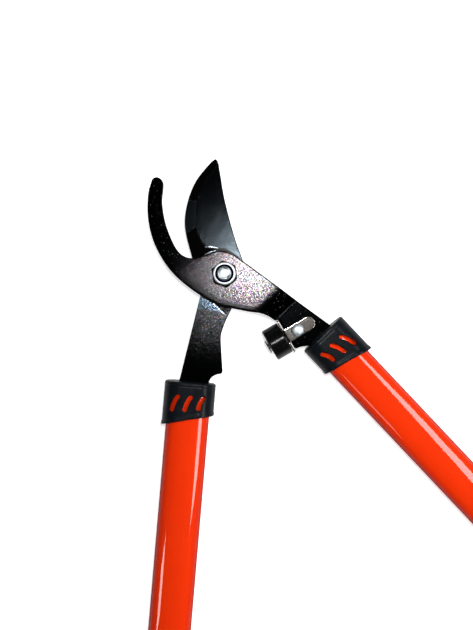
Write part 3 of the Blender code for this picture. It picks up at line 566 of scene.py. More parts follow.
def plateGrid(sides, rim, columns, support=0.25, wider=(1, 1)):
    # rows run across the plate from side A to side B: rim, under face, rim and upper face, with
    # a supporting point inside each rim; each side may have its rim wider
    height = np.concatenate([[rim[0, 1]], rim[:, 1], [rim[-1, 1]]])[None, :, None]
    edges = []
    for side, normal, width in zip(sides[:2], sides[2:], wider):
        inset = width * rim[:, 0]
        inset = np.concatenate([[inset[0] + support], inset, [inset[-1] + support]])
        flat = side[:, None] - normal[:, None] * inset[None, :, None]
        edges.append(np.concatenate([flat, np.broadcast_to(height, (*flat.shape[:2], 1))], axis=2))
    share = np.linspace(0, 1, columns + 2)[1:-1][None, :, None]
    under = edges[0][:, -1:] * (1 - share) + edges[1][:, -1:] * share
    upper = edges[1][:, :1] * (1 - share) + edges[0][:, :1] * share
    return np.concatenate([edges[0], under, edges[1][:, ::-1], upper], axis=1)


tang = {"bossDrop": 16.0, "collarDrop": 79.1, "depth": 56.0, "halfWidth": 10.25,
        "heel": 12.8, "heelDepth": 2.6, "neckDepth": 8.0, "shoulderStep": 2.0}
tangTop = -tang["collarDrop"]                      # the height where a tang enters its collar


def down(share):
    # height of a point on the way from the boss's lower end (0) to the collar's top (1)
    return -(tang["bossDrop"] + share * (tang["collarDrop"] - tang["bossDrop"]))


def outerEdge(side, middle, start):
    # straight outer edge of a tang: from its start past the collar's top to the full width
    neckX = middle + side * (tang["halfWidth"] - tang["shoulderStep"])
    slope = (neckX - start[0]) / (start[1] - tangTop)
    full, end = middle + side * tang["halfWidth"], tangTop - tang["depth"]
    return [start, (full, tangTop - (full - neckX) / slope), (full, end), (middle, end)]


def innerNeck(side, middle):
    # heel of a tang from the collar's top down into the tube, and on to the tang's end
    heelX, innerX = middle - side * tang["heel"], middle - side * tang["halfWidth"]
    return [(heelX, tangTop), (heelX, tangTop - tang["heelDepth"]), (innerX, tangTop - tang["neckDepth"]),
            (innerX, tangTop - tang["depth"]), (middle, tangTop - tang["depth"])]


handle = {"hookSide": 22.15, "bladeSide": 17.9, "tubeWidth": 30.9, "tubeDepth": 17.2,
          "tubeWall": 1.5, "length": 552.0, "gap": 0.3}
pivotBore = 5.3

bumper = {"x": 0.9, "share": 0.74, "tilt": math.radians(12.9), "sheet": 1.3, "bend": 0.5,
          "flange": 26.0, "flangeRound": 6.0, "flangeCorner": 1.5, "flangeLow": -12.0,
          "tab": 9.8, "tabLength": 23.9, "slit": 0.5, "rivetBack": 10.0, "room": 0.4, "hole": 2.4}


def beside(along, out):
    # a point beside the bumper's flange: along the tang and out along the bumper's axis
    c, s = math.cos(bumper["tilt"]), math.sin(bumper["tilt"])
    return bumper["x"] - s * along - c * out, down(bumper["share"]) - c * along + s * out


hook = {"thickness": 5.0, "rows": 560, "columns": 36, "cornerSpread": 1.6,
        "rimWidth": 0.9, "outerRim": 1.9, "rimDepth": 1.0, "roll": 0.07, "rollWidth": 5.0,
        "joggleStart": 0.25, "slopeStart": 0.4, "joggleEnd": 0.522, "creaseRadius": 0.7,
        "rivetBore": 2.8, "hornShade": 0.9, "hornFade": (13, 42), "tangShade": 0.95, "tangFade": (28, 43)}


def bentBack(height, top, under):
    # how far the hook's tang lies back at each height: a cubic onset, a straight slope, and a
    # sharp crease where it reaches the handle's plane
    start, slopeStart, end = (down(hook[key]) for key in ("joggleStart", "slopeStart", "joggleEnd"))
    drop = (top + under) / 2 - handleZ
    soft = start - slopeStart
    slope = drop / (soft / 3 + slopeStart - end)
    levels = np.linspace(end - 6, start, 600)
    onset = slope * (start - levels) ** 3 / (3 * soft ** 2)
    bent = np.where(levels > slopeStart, onset, slope * (soft / 3 + slopeStart - levels))
    spread = hook["creaseRadius"] / (levels[1] - levels[0])
    bent = softened(np.minimum(bent, drop)[:, None], spread)[:, 0]
    return np.interp(height, levels, bent, left=drop, right=0), end


def makeHook():
    # the outline's two sides are joined across by straight rows, with quarter-ellipse rims
    under = hookTop - hook["thickness"]
    middle, heel = handle["hookSide"], handle["hookSide"] - tang["heel"]
    behind = -(bumper["sheet"] + bumper["room"])
    shoulder = bumper["flange"] / 2 + bumper["room"]
    tip, heelStart = (12.9, 83.2), (16.1, -2.1)
    inner = throughPoints([tip, (13.7, 80.4), (12.7, 77.2), (9.6, 74.1), (3.2, 68.4), (-4.64, 57.38),
                           (-10.26, 44.94), (-12.7, 36.0), (-12.4, 29.7), (-8.3, 23.5), (-0.9, 19.7),
                           (8.6, 15.0), (13.8, 7.3), heelStart])
    sideA = np.vstack([inner, outerEdge(1, middle, heelStart)[1:]])
    outer = throughPoints([tip, (11.2, 84.7), (8.9, 84.9), (5.8, 83.2), (1.76, 80.9), (-10.62, 68.92),
                           (-19.97, 54.09), (-25.1, 38.0), (-26.45, 24.73), (-25.3, 11.83),
                           (-22.3, -2.1), (-17.2, -15.5), (-12.9, down(0.088)), (-5.1, down(0.259)),
                           (-0.4, down(0.351)), (2.2, down(0.434)), beside(-shoulder, 0.3)])
    step = throughPoints([beside(0.43 * bumper["flange"], behind), (heel - 5.5, tangTop + 3.7),
                          (heel - 2.7, tangTop + 1.7), (heel, tangTop)])
    sideB = np.vstack([outer, [beside(-shoulder, behind)], step, innerNeck(1, middle)[1:]])
    rows = hook["rows"]
    sides = plateSides(evenly(sideA, rows), evenly(sideB, rows), hook["cornerSpread"])
    rim = roundedRim(hook["rimWidth"], hook["rimDepth"], under, hookTop)
    grid = plateGrid(sides, rim, hook["columns"], wider=(1, hook["outerRim"]))

    # the front face rolls off a little towards its outer edge, and the tang is bent back
    toOuter = np.linalg.norm(grid[..., :2] - sides[1][:, None], axis=2)
    rolled = hook["roll"] * (1 - smoothStep(toOuter, 0, hook["rollWidth"]))
    grid[..., 2] -= np.where(grid[..., 2] > (under + hookTop) / 2, rolled, 0)
    bent, creaseY = bentBack(grid[..., 1], hookTop, under)
    grid[..., 2] -= bent

    turn = halfTurns["hook_half"]
    piece = surface("hookPlate", turnedAndLifted(grid, turn))
    cutBy(piece, [rod("pivotBore", pivotBore, (0, 0), turn, 96),
                  rod("bracketBore", hook["rivetBore"], beside(0, -bumper["rivetBack"]), turn)])

    # painted shade: fewer and weaker flakes along the horn and past the bend darken them
    y = pointsOf(piece, turn)[:, 1]
    paintedShade = np.maximum(hook["hornShade"] * smoothStep(y, *hook["hornFade"]),
                      hook["tangShade"] * smoothStep(-y, *hook["tangFade"]))
    layer(piece, "paintedShade", paintedShade)
    # painted highlight: a pale line along the tang's crease
    layer(piece, "creaseHighlight", smoothStep(-np.abs(y - creaseY + 0.2), -0.45, -0.1))
    finishPiece(piece, "hook_half", "hook_blade", coat)


blade = {"rows": 520, "columns": 74, "cornerSpread": 1.2, "edgeRim": 0.1, "spineRim": 0.4,
         "spineWider": 7, "rimSteps": 5, "edgeTopDrop": 1.7, "edgeLowRise": 2.1, "hollow": 1.25,
         "tipShade": 0.3, "tangShade": 0.8, "tipGloss": 50.8, "lowGloss": 32.8}

# lines on the blade's upper face, in its half's frame: where the grease and the painted shade
# beside the hook lie, and the painted highlight lines along their rims
smears = {"tang": [(-6.9, -21.0), (-3.6, -23.4), (0.3, -26.8), (3.2, -28.8), (7.0, -24.0),
                   (12.0, -14.0), (0.0, -12.0), (-6.5, -15.0), (-6.9, -21.0)],
          "boss": [(-24.0, 2.0), (-22.0, 14.0), (-19.6, 20.5), (-15.5, 19.9), (-11.1, 19.6),
                   (-6.6, 19.0), (-1.5, 18.8), (3.8, 16.8), (8.5, 14.2), (11.4, 11.4),
                   (12.8, 7.0), (0.0, 8.0), (-24.0, 2.0)]}
highlightLines = [[(-6.5, -21.5), (-3.4, -23.8), (0.4, -27.1), (3.0, -28.9)],
             [(-15.2, 18.5), (-11.1, 19.1), (-6.6, 18.4)], [(-15.3, 12.9), (-11.9, 15.0), (-8.2, 16.4)]]


def bladeLines():
    # the spine's side and the edge's side of the blade's outline, its cutting edge, and the
    # line where the grinding stops, which sweeps round the boss at its lower end
    middle = -handle["bladeSide"]
    heel = middle + tang["heel"]
    tip = (-14.1, 82.4)
    spine = throughPoints([tip, (-13.0, 81.9), (-12.1, 80.8), (-11.1, 78.9), (-10.3, 75.6), (-9.2, 71.5),
                           (-5.09, 55.55), (0.59, 38.76), (6.39, 23.79), (12.6, 10.0), (14.6, 0.0),
                           (12.4, -10.0), (7.52, down(0.116)), (3.22, down(0.295)), (1.2, down(0.43)),
                           (1.25, down(0.49)), (heel + 9.6, tangTop + 9.2)])
    step = throughPoints([(heel + 9.0, tangTop + 7.7), (heel + 5.1, tangTop + 6.6),
                          (heel + 1.8, tangTop + 4.1), (heel, tangTop)])
    edge = throughPoints([tip, (-16.3, 80.4), (-21.4, 73.6), (-26.1, 66.1), (-29.7, 56.5), (-31.9, 44.2),
                          (-31.9, 34.0), (-29.7, 24.5), (-25.9, 13.9), (-22.0, 3.0), (-18.6, -7.0)])
    groundLine = throughPoints([(-12.3, 81.1), (-12.3, 77.0), (-14.8, 72.2), (-18.2, 68.4), (-20.9, 61.9),
                                (-22.9, 55.2), (-24.0, 48.0), (-24.2, 40.0), (-23.4, 32.6), (-21.6, 28.6),
                                (-19.8, 24.4), (-17.3, 21.1), (-12.8, 18.8), (-8.5, 18.3), (-12.5, 14.4),
                                (-16.6, 9.4), (-18.4, 3.0), (-17.9, -4.5), (-18.4, -8.0)])
    sideA = np.vstack([spine, step, innerNeck(-1, middle)[1:]])
    sideB = np.vstack([edge, outerEdge(-1, middle, (-16.3, -17.0))])
    return sideA, sideB, evenly(edge, 500), evenly(groundLine, 500)


def layBladeLayers(piece, turn, land, groundLine):
    # what the material reads at each point: black gloss on the bevel, ground and bare steel, the
    # coated tang, the painted shade towards the tip and the tang, the grease, which is also painted
    # shade beside the hook, and the painted highlight along its rims
    at = pointsOf(piece, turn)
    flat = at[:, :2]
    x, y = flat.T
    onTop = at[:, 2] > (bladeLow + bladeTop) / 2 - 0.4
    onLand = np.where(inside(flat, land), smoothStep(distanceTo(flat, groundLine), 0.05, 0.45), 0)
    ragged = y + 0.35 * np.sin(x * 3.1) + 0.25 * np.sin(x * 7.3 + 1) + 0.2 * np.sin(y * 5.7)
    tipGloss = smoothStep(ragged, blade["tipGloss"], blade["tipGloss"] + 0.5)
    hump = 0.75 * np.minimum(x + 23.6, 0) - 1.2 * np.maximum(x + 23.6, 0)
    lowGloss = smoothStep(hump - ragged, -blade["lowGloss"], -blade["lowGloss"] + 0.6)
    black = onLand * np.maximum(tipGloss, lowGloss)
    coated = smoothStep(-y - 0.055 * x, 26.7, 27.1)
    # painted shade: darker towards the tip and down the tang
    paintedShade = np.maximum(blade["tipShade"] * smoothStep(y, 26, 66), blade["tangShade"] * smoothStep(-y, 42, 74))
    greaseAndShade, paintedHighlight = np.zeros(len(flat)), np.zeros(len(flat))
    # the grease, which is also painted shade along the hook's edges
    for points in smears.values():
        loop = throughPoints(points)
        spread = smoothStep(distanceTo(flat, evenly(loop, 400)), 0, 0.5)
        greaseAndShade = np.maximum(greaseAndShade, inside(flat, loop) * spread)
    # painted highlight: bright lines along the grease's rims
    for points in highlightLines:
        away = distanceTo(flat, evenly(throughPoints(points), 120))
        paintedHighlight = np.maximum(paintedHighlight, smoothStep(-away, -0.5, -0.15))
    layers = {"black": black, "ground": onLand * (1 - black), "paintedShade": paintedShade, "coat": coated,
              "bare": smoothStep(-y, 8.0, 9.0) * (1 - coated), "greaseAndShade": greaseAndShade * onTop,
              "paintedHighlight": paintedHighlight * onTop}
    for name, values in layers.items():
        layer(piece, name, values)


def makeBlade():
    # straight rows across the outline; the height of each point falls from the ground line to
    # the edge by a power of its share of the way, on both faces
    sideA, sideB, cut, groundLine = bladeLines()
    rows = blade["rows"]
    sides = plateSides(evenly(sideA, rows), evenly(sideB, rows), blade["cornerSpread"])
    rim = roundedRim(1, 1, 0, 0, blade["rimSteps"]) * [blade["edgeRim"], 0]
    grid = plateGrid(sides, rim, blade["columns"], 0.3, (blade["spineWider"], 1))

    # the bevel falls from the line where the grinding stops to the edge, a little hollow
    across = grid[..., :2]
    land = np.vstack([cut + [-0.6, 0], groundLine[::-1]])
    toEdge, toLine = distanceTo(across, cut), distanceTo(across, groundLine)
    share = np.where(inside(across, land), toEdge / (toEdge + toLine + 1e-6), 1.0)
    falling = (1 - share) ** blade["hollow"]
    up = bladeTop - blade["edgeTopDrop"] * falling
    low = bladeLow + blade["edgeLowRise"] * falling

    # the rims are rounded by the columns' own easing, less where the blade is thin
    turnIn = 1 - np.cos(np.linspace(0, math.pi / 2, blade["rimSteps"]))
    face = np.zeros(blade["columns"])
    oneRim = np.concatenate([[0], turnIn, turnIn[::-1], [0]])
    easing = np.concatenate([oneRim, face, oneRim, face])
    rimTop = np.arange(len(oneRim)) < len(oneRim) / 2
    upper = np.concatenate([rimTop, face > 0, ~rimTop, face == 0])
    nearTip = 1 - smoothStep(-across[..., 1], -80, -66)
    spineRim = blade["spineRim"] + (blade["edgeRim"] - blade["spineRim"]) * nearTip
    rounding = np.minimum(spineRim, 0.45 * (up - low)) * easing
    grid[..., 2] = np.where(upper, up - rounding, low + rounding)

    turn = halfTurns["cutting_half"]
    piece = surface("cuttingPlate", turnedAndLifted(grid, turn))
    cutBy(piece, [rod("boltBore", pivotBore, (0, 0), turn, 96)])
    layBladeLayers(piece, turn, land, groundLine)
    finishPiece(piece, "cutting_half", "cutting_blade", steel, 30)


for build in (makeHook, makeBlade):
    build()


# Handles: flat ovals carried down from the collar's top

tubeFlat = (handle["tubeWidth"] - handle["tubeDepth"]) / 2
tubeRadius = handle["tubeDepth"] / 2
halves = {1: ("right", "hook_half", handle["hookSide"]), -1: ("left", "cutting_half", -handle["bladeSide"])}


def inHandle(grid, side):
    # (out from the middle, depth below the collar's top, height) into the lopper's frame
    _, body, middle = halves[side]
    flipped = np.stack([side * grid[..., 0], -grid[..., 1], grid[..., 2]], axis=-1)
    return turnedAndLifted(flipped, halfTurns[body], (middle, tangTop, handleZ))


def ovalAround(flatHalf, radius, count):
    # going evenly round a flat-sided oval: place on its middle line from -1 to 1, and the
    # direction in which the surface lies from there
    arc = math.pi * radius
    stops = np.cumsum([0, arc, 2 * flatHalf, arc, 2 * flatHalf])
    at = np.arange(count) * stops[-1] / count
    angle = np.interp(at, stops, np.radians([-90, 90, 90, 270, 270]))
    return np.interp(at, stops, [1, 1, -1, -1, 1]), np.cos(angle), np.sin(angle)


def ovalGrid(depths, radii, columns=128):
    # rows of (depth, radius) carried round the oval; depths may vary along a row
    middle, dx, dz = ovalAround(tubeFlat, tubeRadius, columns)
    x = middle * tubeFlat + radii * dx
    return np.stack([x, depths + 0 * x, radii * dz + 0 * x], axis=-1)


def makeTube(side):
    # a closed wall profile carried down a rounded oval
    look = {"top": 2.3, "end": handle["length"] - 3.3, "rows": 90, "columns": 144, "fullness": 2.12,
            "sideLow": 0.1, "sideHigh": 0.85}
    prefix, body, _ = halves[side]
    top, end, outer = look["top"], look["end"], tubeRadius
    inner = outer - handle["tubeWall"]
    depth = np.linspace(top + 0.5, end - 0.5, look["rows"])
    profile = np.concatenate([
        [(top, outer - 0.3), (top + 0.1, outer - 0.1)], np.stack([depth, 0 * depth + outer], axis=1),
        [(end - 0.1, outer - 0.1), (end, outer - 0.3), (end, inner + 0.2), (end - 0.2, inner),
         (top + 0.2, inner), (top, inner + 0.2)]])
    # a rounded oval, each of whose half widths goes with a power of the cosine or sine; both
    # shrink by the same wall towards the bore
    angle = around(look["columns"])
    across, upright = (np.sign(part) * np.abs(part) ** (2 / look["fullness"])
                       for part in (np.cos(angle), np.sin(angle)))
    x, z = across * (profile[:, 1:] + tubeFlat), upright * profile[:, 1:]
    grid = np.stack([x, profile[:, :1] + 0 * x, z], axis=-1)
    piece = surface(prefix + "Tube", inHandle(grid, side), True)
    # painted shade: the narrow sides, about the handle's middle height, get the darker colour and less coat
    away = np.abs(pointsOf(piece)[:, 2] - handleZ) / outer
    layer(piece, "side", 1 - smoothStep(away, look["sideLow"], look["sideHigh"]))
    finishPiece(piece, body, prefix + "_handle_tube", paint)


# windows run out from the handle's inner side; the open end's depths are those at the handle's
# inner side, middle and outer side
collar = {"wall": 2.7, "topWall": 2.0, "shoulder": 1.7, "inner": 23.0, "middle": 26.5, "outer": 32.0,
          "foot": 0.6, "lip": 0.4, "lipLength": 3.5, "groove": 0.16, "grooveAt": 3.1, "columns": 168,
          "windowWidth": 3.1, "pitch": 9.1, "top": 10.3, "lengths": (8.2, 9.8, 10.4),
          "start": -10.6, "slant": math.radians(21), "bow": 0.6}
tangThickness = {1: 5.0, -1: 4.2}


def collarLength(x):
    # depth of the slanted open end, a parabola through its three lengths
    share = x / (handle["tubeWidth"] / 2 + handle["gap"] + collar["wall"] + collar["lip"])
    bend = (collar["outer"] + collar["inner"]) / 2 - collar["middle"]
    return collar["middle"] + (collar["outer"] - collar["inner"]) / 2 * share + bend * share ** 2


def collarRows(outer, inner):
    # (depth, radius, share of the slanted end's depth) from the middle of the top over the
    # shoulder and a fine groove to the lip and foot, and up the bore to the top wall
    shoulder, at, foot, length = (collar[key] for key in ("shoulder", "grooveAt", "foot", "lipLength"))
    groove, lip, topWall = outer - collar["groove"], outer + collar["lip"], collar["topWall"]
    turn = np.linspace(0, math.pi / 2, 8)
    rows = [(0.0, 0.0, 0), (0.0, outer - shoulder - 0.8, 0)]
    rows += [(shoulder * 0.75 * (1 - math.cos(t)), outer - shoulder * (1 - math.sin(t)), 0) for t in turn]
    rows += [(at - 0.9, outer, 0), (at - 0.55, outer, 0), (at - 0.35, groove, 0), (at - 0.1, groove, 0),
             (at + 0.15, outer - 0.04, 0), (at + 0.5, outer, 0)]
    rows += [((at + 0.5) * (1 - t) - length * t, outer, t) for t in np.linspace(0, 1, 26)[1:]]
    rows += [(length * (0.5 * t - 1), outer + collar["lip"] * t * t * (3 - 2 * t), 1)
             for t in np.linspace(0, 1, 6)[1:]]
    rows += [(-foot - 0.1, lip, 1)]
    rows += [(-foot * (1 - math.sin(t)), lip - foot * (1 - math.cos(t)), 1) for t in turn[1:]]
    rows += [(0, inner + 0.25, 1), (-0.25, inner, 1), (topWall + 0.4, inner, 0),
             (topWall, inner - 0.4, 0), (topWall, 0, 0)]
    return np.array(rows)


def windowCutter(name, side, index, radius):
    # slanted slot as rings round its bowed middle line: wide above the moulding, flared into
    # a soft rim at the surface and straight below, once for each face of the collar
    length, half = collar["lengths"][index], collar["windowWidth"] / 2
    slantX, slantY = math.sin(collar["slant"]), math.cos(collar["slant"])
    along, across = np.array([slantX, slantY]), np.array([slantY, -slantX])
    start = np.array([collar["start"] + index * collar["pitch"], collar["top"]])
    middle, dx, dz = ovalAround(length / 2, half, 72)
    share = ((middle + 1) / 2)[:, None]
    spine = start + share * length * along + 4 * share * (1 - share) * collar["bow"] * across
    outward = dx[:, None] * along + dz[:, None] * across
    rings = np.array([(0, 3), (half + 0.55, 3), (half + 0.55, 0.05), (half + 0.22, -0.1),
                      (half + 0.06, -0.28), (half, -0.5), (half, -5), (0, -5)])
    flat = spine + rings[:, :1, None] * outward
    past = np.clip(np.abs(flat[..., 0]) - tubeFlat, 0, radius - 0.5)
    height = np.sqrt(radius ** 2 - past ** 2) + rings[:, 1:]
    for face, faceName in ((1, "Front"), (-1, "Back")):
        grid = np.concatenate([flat, face * height[..., None]], axis=2)
        yield surface(f"{name}{index}{faceName}", inHandle(grid, side))


def makeCollar(side):
    # the collar's profile carried round the oval, its depths stretched to the slanted end, with
    # the windows and the tang's slot cut out
    prefix, body, _ = halves[side]
    inner = tubeRadius + handle["gap"]
    outer = inner + collar["wall"]
    table = collarRows(outer, inner)
    radii = table[:, 1:2]
    middle, dx, _ = ovalAround(tubeFlat, tubeRadius, collar["columns"])
    depths = table[:, :1] + table[:, 2:] * collarLength(middle * tubeFlat + radii * dx)
    name = prefix + "Collar"
    piece = surface(name, inHandle(ovalGrid(depths, radii, collar["columns"]), side))
    cutters = [cutter for index in range(3) for cutter in windowCutter(name + "Window", side, index, outer)]

    # slot for the tang in the top wall
    half = tangThickness[side] / 2 + handle["gap"]
    low, high = -tang["heel"] - handle["gap"], tang["halfWidth"] - tang["shoulderStep"] + 0.8
    ring = np.array([(low, -half), (high, -half), (high, half), (low, half)])
    mid = ring.mean(axis=0)
    box = mid + np.array([0, 1, 1, 0])[:, None, None] * (ring - mid)
    depth = np.array([-4.0, -4.0, 4.0, 4.0])[:, None] + 0 * box[..., 0]
    grid = np.stack([box[..., 0], depth, box[..., 1]], axis=-1)
    cutters.append(surface(name + "Slot", inHandle(grid, side)))
    cutBy(piece, cutters)
    finishPiece(piece, body, prefix + "_collar", moulding, 40)


def makeGrip(side):
    # a closed-end profile with a bead at each end, carried round the oval
    look = {"length": 165.0, "wall": 2.3, "bead": 3.1, "beadLength": 6.0, "beadFall": 1.6, "endWall": 3.0,
            "endRound": 1.6, "ribPitch": 7.5, "ribDepth": 0.55, "spacing": 0.5, "soft": 0.45}
    prefix, body, _ = halves[side]
    end, inner = handle["length"], tubeRadius + handle["gap"]
    start, bead, wall = end - look["length"], inner + look["bead"], inner + look["wall"]
    first = start + look["beadLength"] + look["beadFall"]
    last = end - look["beadLength"] - look["beadFall"]
    outline = filleted([(start + 0.3, inner), (start, inner + 0.4), (start, bead - 0.4), (start + 0.4, bead),
                        (start + look["beadLength"], bead), (first, wall), (last, wall),
                        (end - look["beadLength"], bead), (end - look["endRound"], bead),
                        (end - 0.45, bead - 0.45), (end, bead - look["endRound"]),
                        (end, 4.0), (end, 0.0)], look["spacing"], look["soft"])
    outline[-1] = (end, 0)
    # shallow rounded grooves round the middle of the grip: a high power of a cosine
    depth = outline[:, 0]
    within = smoothStep(depth, first + 4, first + 6) * smoothStep(-depth, -last + 4, -last + 6)
    wave = np.cos(math.pi * (depth - first) / look["ribPitch"]) ** 12
    outline[:, 1] -= np.where(outline[:, 1] > inner + 1, look["ribDepth"] * within * wave, 0)
    bore = [(end - look["endWall"], 0), (end - look["endWall"], inner), (start + 0.4, inner)]
    profile = np.concatenate([bore, outline])
    piece = surface(prefix + "Grip", inHandle(ovalGrid(profile[:, :1], profile[:, 1:]), side))
    finishPiece(piece, body, prefix + "_grip", vinyl, 50)


for side in halves:
    for build in (makeTube, makeCollar, makeGrip):
        build(side)


# Pivot: nut, its nylon ring, bolt and washer, all turning with the cutting blade

hexagon = {"across": 17.0, "cornerWear": 0.12, "seat": 8.2, "slope": 1.6}
nut = {"seat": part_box("pivot_nut")[0][2] / mm, "height": 10.0, "hexHeight": 6.8, "crown": 8.0,
       "lip": 6.5, "lipHeight": 0.7, "pocket": 7.25, "turn": math.radians(-16), "columns": 216}


def hexRadius(angle, turn=0.0):
    # distance to a hexagon's side, with its corners worn a little: a soft minimum of the
    # distance to the side and a circle just inside the corners
    wrapped = (angle - turn) % (math.pi / 3) - math.pi / 6
    flat = hexagon["across"] / 2 / np.cos(wrapped)
    cap, soft = hexagon["across"] / math.sqrt(3) - hexagon["cornerWear"], 0.07
    return -soft * np.log(np.exp(-flat / soft) + np.exp(-cap / soft))


def hexFoot(hexR):
    # height where the cone round the seat meets each side, and the two rows of that corner
    meet = (hexR - hexagon["seat"]) / hexagon["slope"]
    return meet, [(hexR - 0.06, meet - 0.03), (hexR, meet + 0.08)]


def onPivot(name, grid, ring, node, material, sharp):
    # a piece round the pivot's axis, turned with the cutting half
    piece = surface(name, turnedAndLifted(grid, halfTurns["cutting_half"]), ring)
    if node == "pivot_nut":
        # painted shade: the nut darker below its top, down its sides and in the nylon's pocket
        heights = pointsOf(piece)[:, 2] - nut["seat"] - nut["height"]
        layer(piece, "paintedLowShade", 1 - smoothStep(heights, -0.9, -0.55))
    finishPiece(piece, "cutting_half", node, material, sharp)


def makeNut():
    # rows up the outside from the seat to the crown, over the lip and down the nylon's pocket
    angle = around(nut["columns"])
    hexR = hexRadius(angle, nut["turn"])
    crown, top, hexTop, lip = (nut[key] for key in ("crown", "height", "hexHeight", "lip"))
    floor, shelf = top - nut["lipHeight"], hexTop - 0.25
    meetTop = shelf - (hexR - crown) / hexagon["slope"]
    meetLow, foot = hexFoot(hexR)
    rows = [(pivotBore, 0.0), (hexagon["seat"] - 0.1, 0.0), (hexagon["seat"] + 0.05, 0.03)] + foot
    rows += [(hexR, meetLow + 0.08 + (meetTop - meetLow - 0.16) * t) for t in np.linspace(0, 1, 12)[1:]]
    rows += [(hexR - 0.05, meetTop + 0.03)]
    rows += [(hexR + (crown + 0.1 - hexR) * t, meetTop + (shelf - meetTop) * t)
             for t in (0.1, 0.4, 0.7, 0.97)]
    rows += [(crown + 0.02, hexTop - 0.12), (crown, hexTop + 0.15)]
    # the crown's rolled-over top: a tight corner, then nearly flat to the lip
    rows += [(crown - 0.35 * (1 - math.cos(t)), top - 0.75 + 0.6 * math.sin(t))
             for t in np.linspace(0, math.pi / 2, 10)]
    rows += [(crown - 0.5, top - 0.04), (crown - 0.9, top), (lip + 0.12, top - 0.02), (lip, top - 0.15),
             (lip, top - 0.6), (lip + 0.1, floor), (nut["pocket"], floor),
             (nut["pocket"], top - 3.5), (pivotBore, top - 3.6)]
    grid = rowsAround(rows, angle, nut["seat"])
    onPivot("lockNut", grid, True, "pivot_nut", zinc["nutZinc"], 34)


def makeInsert():
    # a ring whose top slopes down to the bolt
    top = nut["seat"] + nut["height"] - nut["lipHeight"] - 0.3
    profile = filleted([(5.08, top - 2.0), (6.9, top - 2.1), (6.98, top - 0.3), (6.7, top - 0.02),
                        (6.3, top - 0.1), (5.1, top - 0.9)], 0.06, 0.12, True)
    onPivot("nylonRing", lathe(profile, 96), True, "nut_insert", blueNylon, 50)


def makeBolt():
    # rows up from the head's face over the hexagon, the shank and its flats, and the thread
    look = {"head": 6.8, "radius": 5.0, "flats": 8.6, "flatsLow": 9.8, "flatsHigh": 14.1, "pitch": 1.5,
            "threadLow": 26.0, "threadDepth": 0.5, "threadStep": 0.075, "ringDepth": 0.9,
            "ringTurn": math.radians(115), "face": 2.9, "dome": 0.07, "columns": 144}
    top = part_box("pivot_bolt")[1][2] / mm
    head, radius = look["head"], look["radius"]
    angle = around(look["columns"])
    hexR = hexRadius(angle)
    meet, foot = hexFoot(hexR)
    rows = [(0, 0), (4, 0), (hexagon["seat"] - 0.15, 0), (hexagon["seat"] + 0.02, 0.03)] + foot
    rows += [(hexR, meet + 0.08 + (head - 0.3 - meet) * t) for t in np.linspace(0, 1, 8)[1:]]
    rows += [(hexR - 0.07, head - 0.05), (hexR - 0.25, head), (radius + 0.6, head),
             (radius + 0.1, head + 0.05), (radius, head + 0.3)]
    flats = np.minimum(radius, look["flats"] / 2 / np.maximum(np.abs(np.cos(angle)), 0.01))
    rows += [(radius, look["flatsLow"]), (flats, look["flatsLow"] + 0.01), (flats, look["flatsHigh"]),
             (radius, look["flatsHigh"] + 0.01)]
    # thread: a helix whose crest moves up by the pitch in a turn
    heights = np.arange(look["threadLow"], top - 0.6, look["threadStep"])
    phase = (heights[:, None] / look["pitch"] - angle / (2 * math.pi)) % 1
    crest = np.clip(np.abs(phase - 0.5) * 2 * 1.25 - 0.1, 0, 1)
    rows += list(zip(radius - 0.02 - look["threadDepth"] * (1 - crest), heights))
    # the end: a narrow cone, a bead, a ring cut deepest on two sides, and the slightly domed face
    ring = look["ringDepth"] * (0.5 + 0.5 * np.cos(2 * (angle - look["ringTurn"]))) ** 1.5
    rows += [(4.85, top - 0.55), (4.72, top - 0.3), (4.5, top - 0.18), (4.3, top - 0.14),
             (3.95, top - 0.16 - ring), (3.2, top - 0.14 - ring)]
    rows += [(look["face"] * (1 - t), top - look["dome"] * (1 - math.sin(t * math.pi / 2)))
             for t in np.linspace(0, 1, 14)]
    onPivot("pivotBolt", rowsAround(rows, angle), False, "pivot_bolt", zinc["endZinc"], 34)


def makeWasher():
    # a flat ring with rounded edges
    outer = 10.0
    low, high = (corner[2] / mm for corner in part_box("pivot_washer"))
    profile = filleted([(pivotBore, low), (outer, low), (outer, high), (pivotBore, high)], 0.1, 0.16, True)
    onPivot("backWasher", lathe(profile, 96), True, "pivot_washer", zinc["zincPlate"], 50)


for build in (makeNut, makeInsert, makeBolt, makeWasher):
    build()


# Bumper: bracket, cushion, washer and two rivets, all on the hook's tang

def onBumper(name, grid, ring, node, material, sharp=50):
    # a piece given as (across the flange, up, out along the cushion's axis) from the middle of
    # the flange, put in its place beside the hook's tang
    c, s = math.cos(bumper["tilt"]), math.sin(bumper["tilt"])
    x, y, z = (grid[..., i] for i in range(3))
    place = (bumper["x"], down(bumper["share"]), handleZ)
    flat = np.stack([-s * x - c * z, -c * x + s * z, y], axis=-1)
    piece = surface(name, turnedAndLifted(flat, halfTurns["hook_half"], place), ring)
    finishPiece(piece, "hook_half", node, material, sharp)


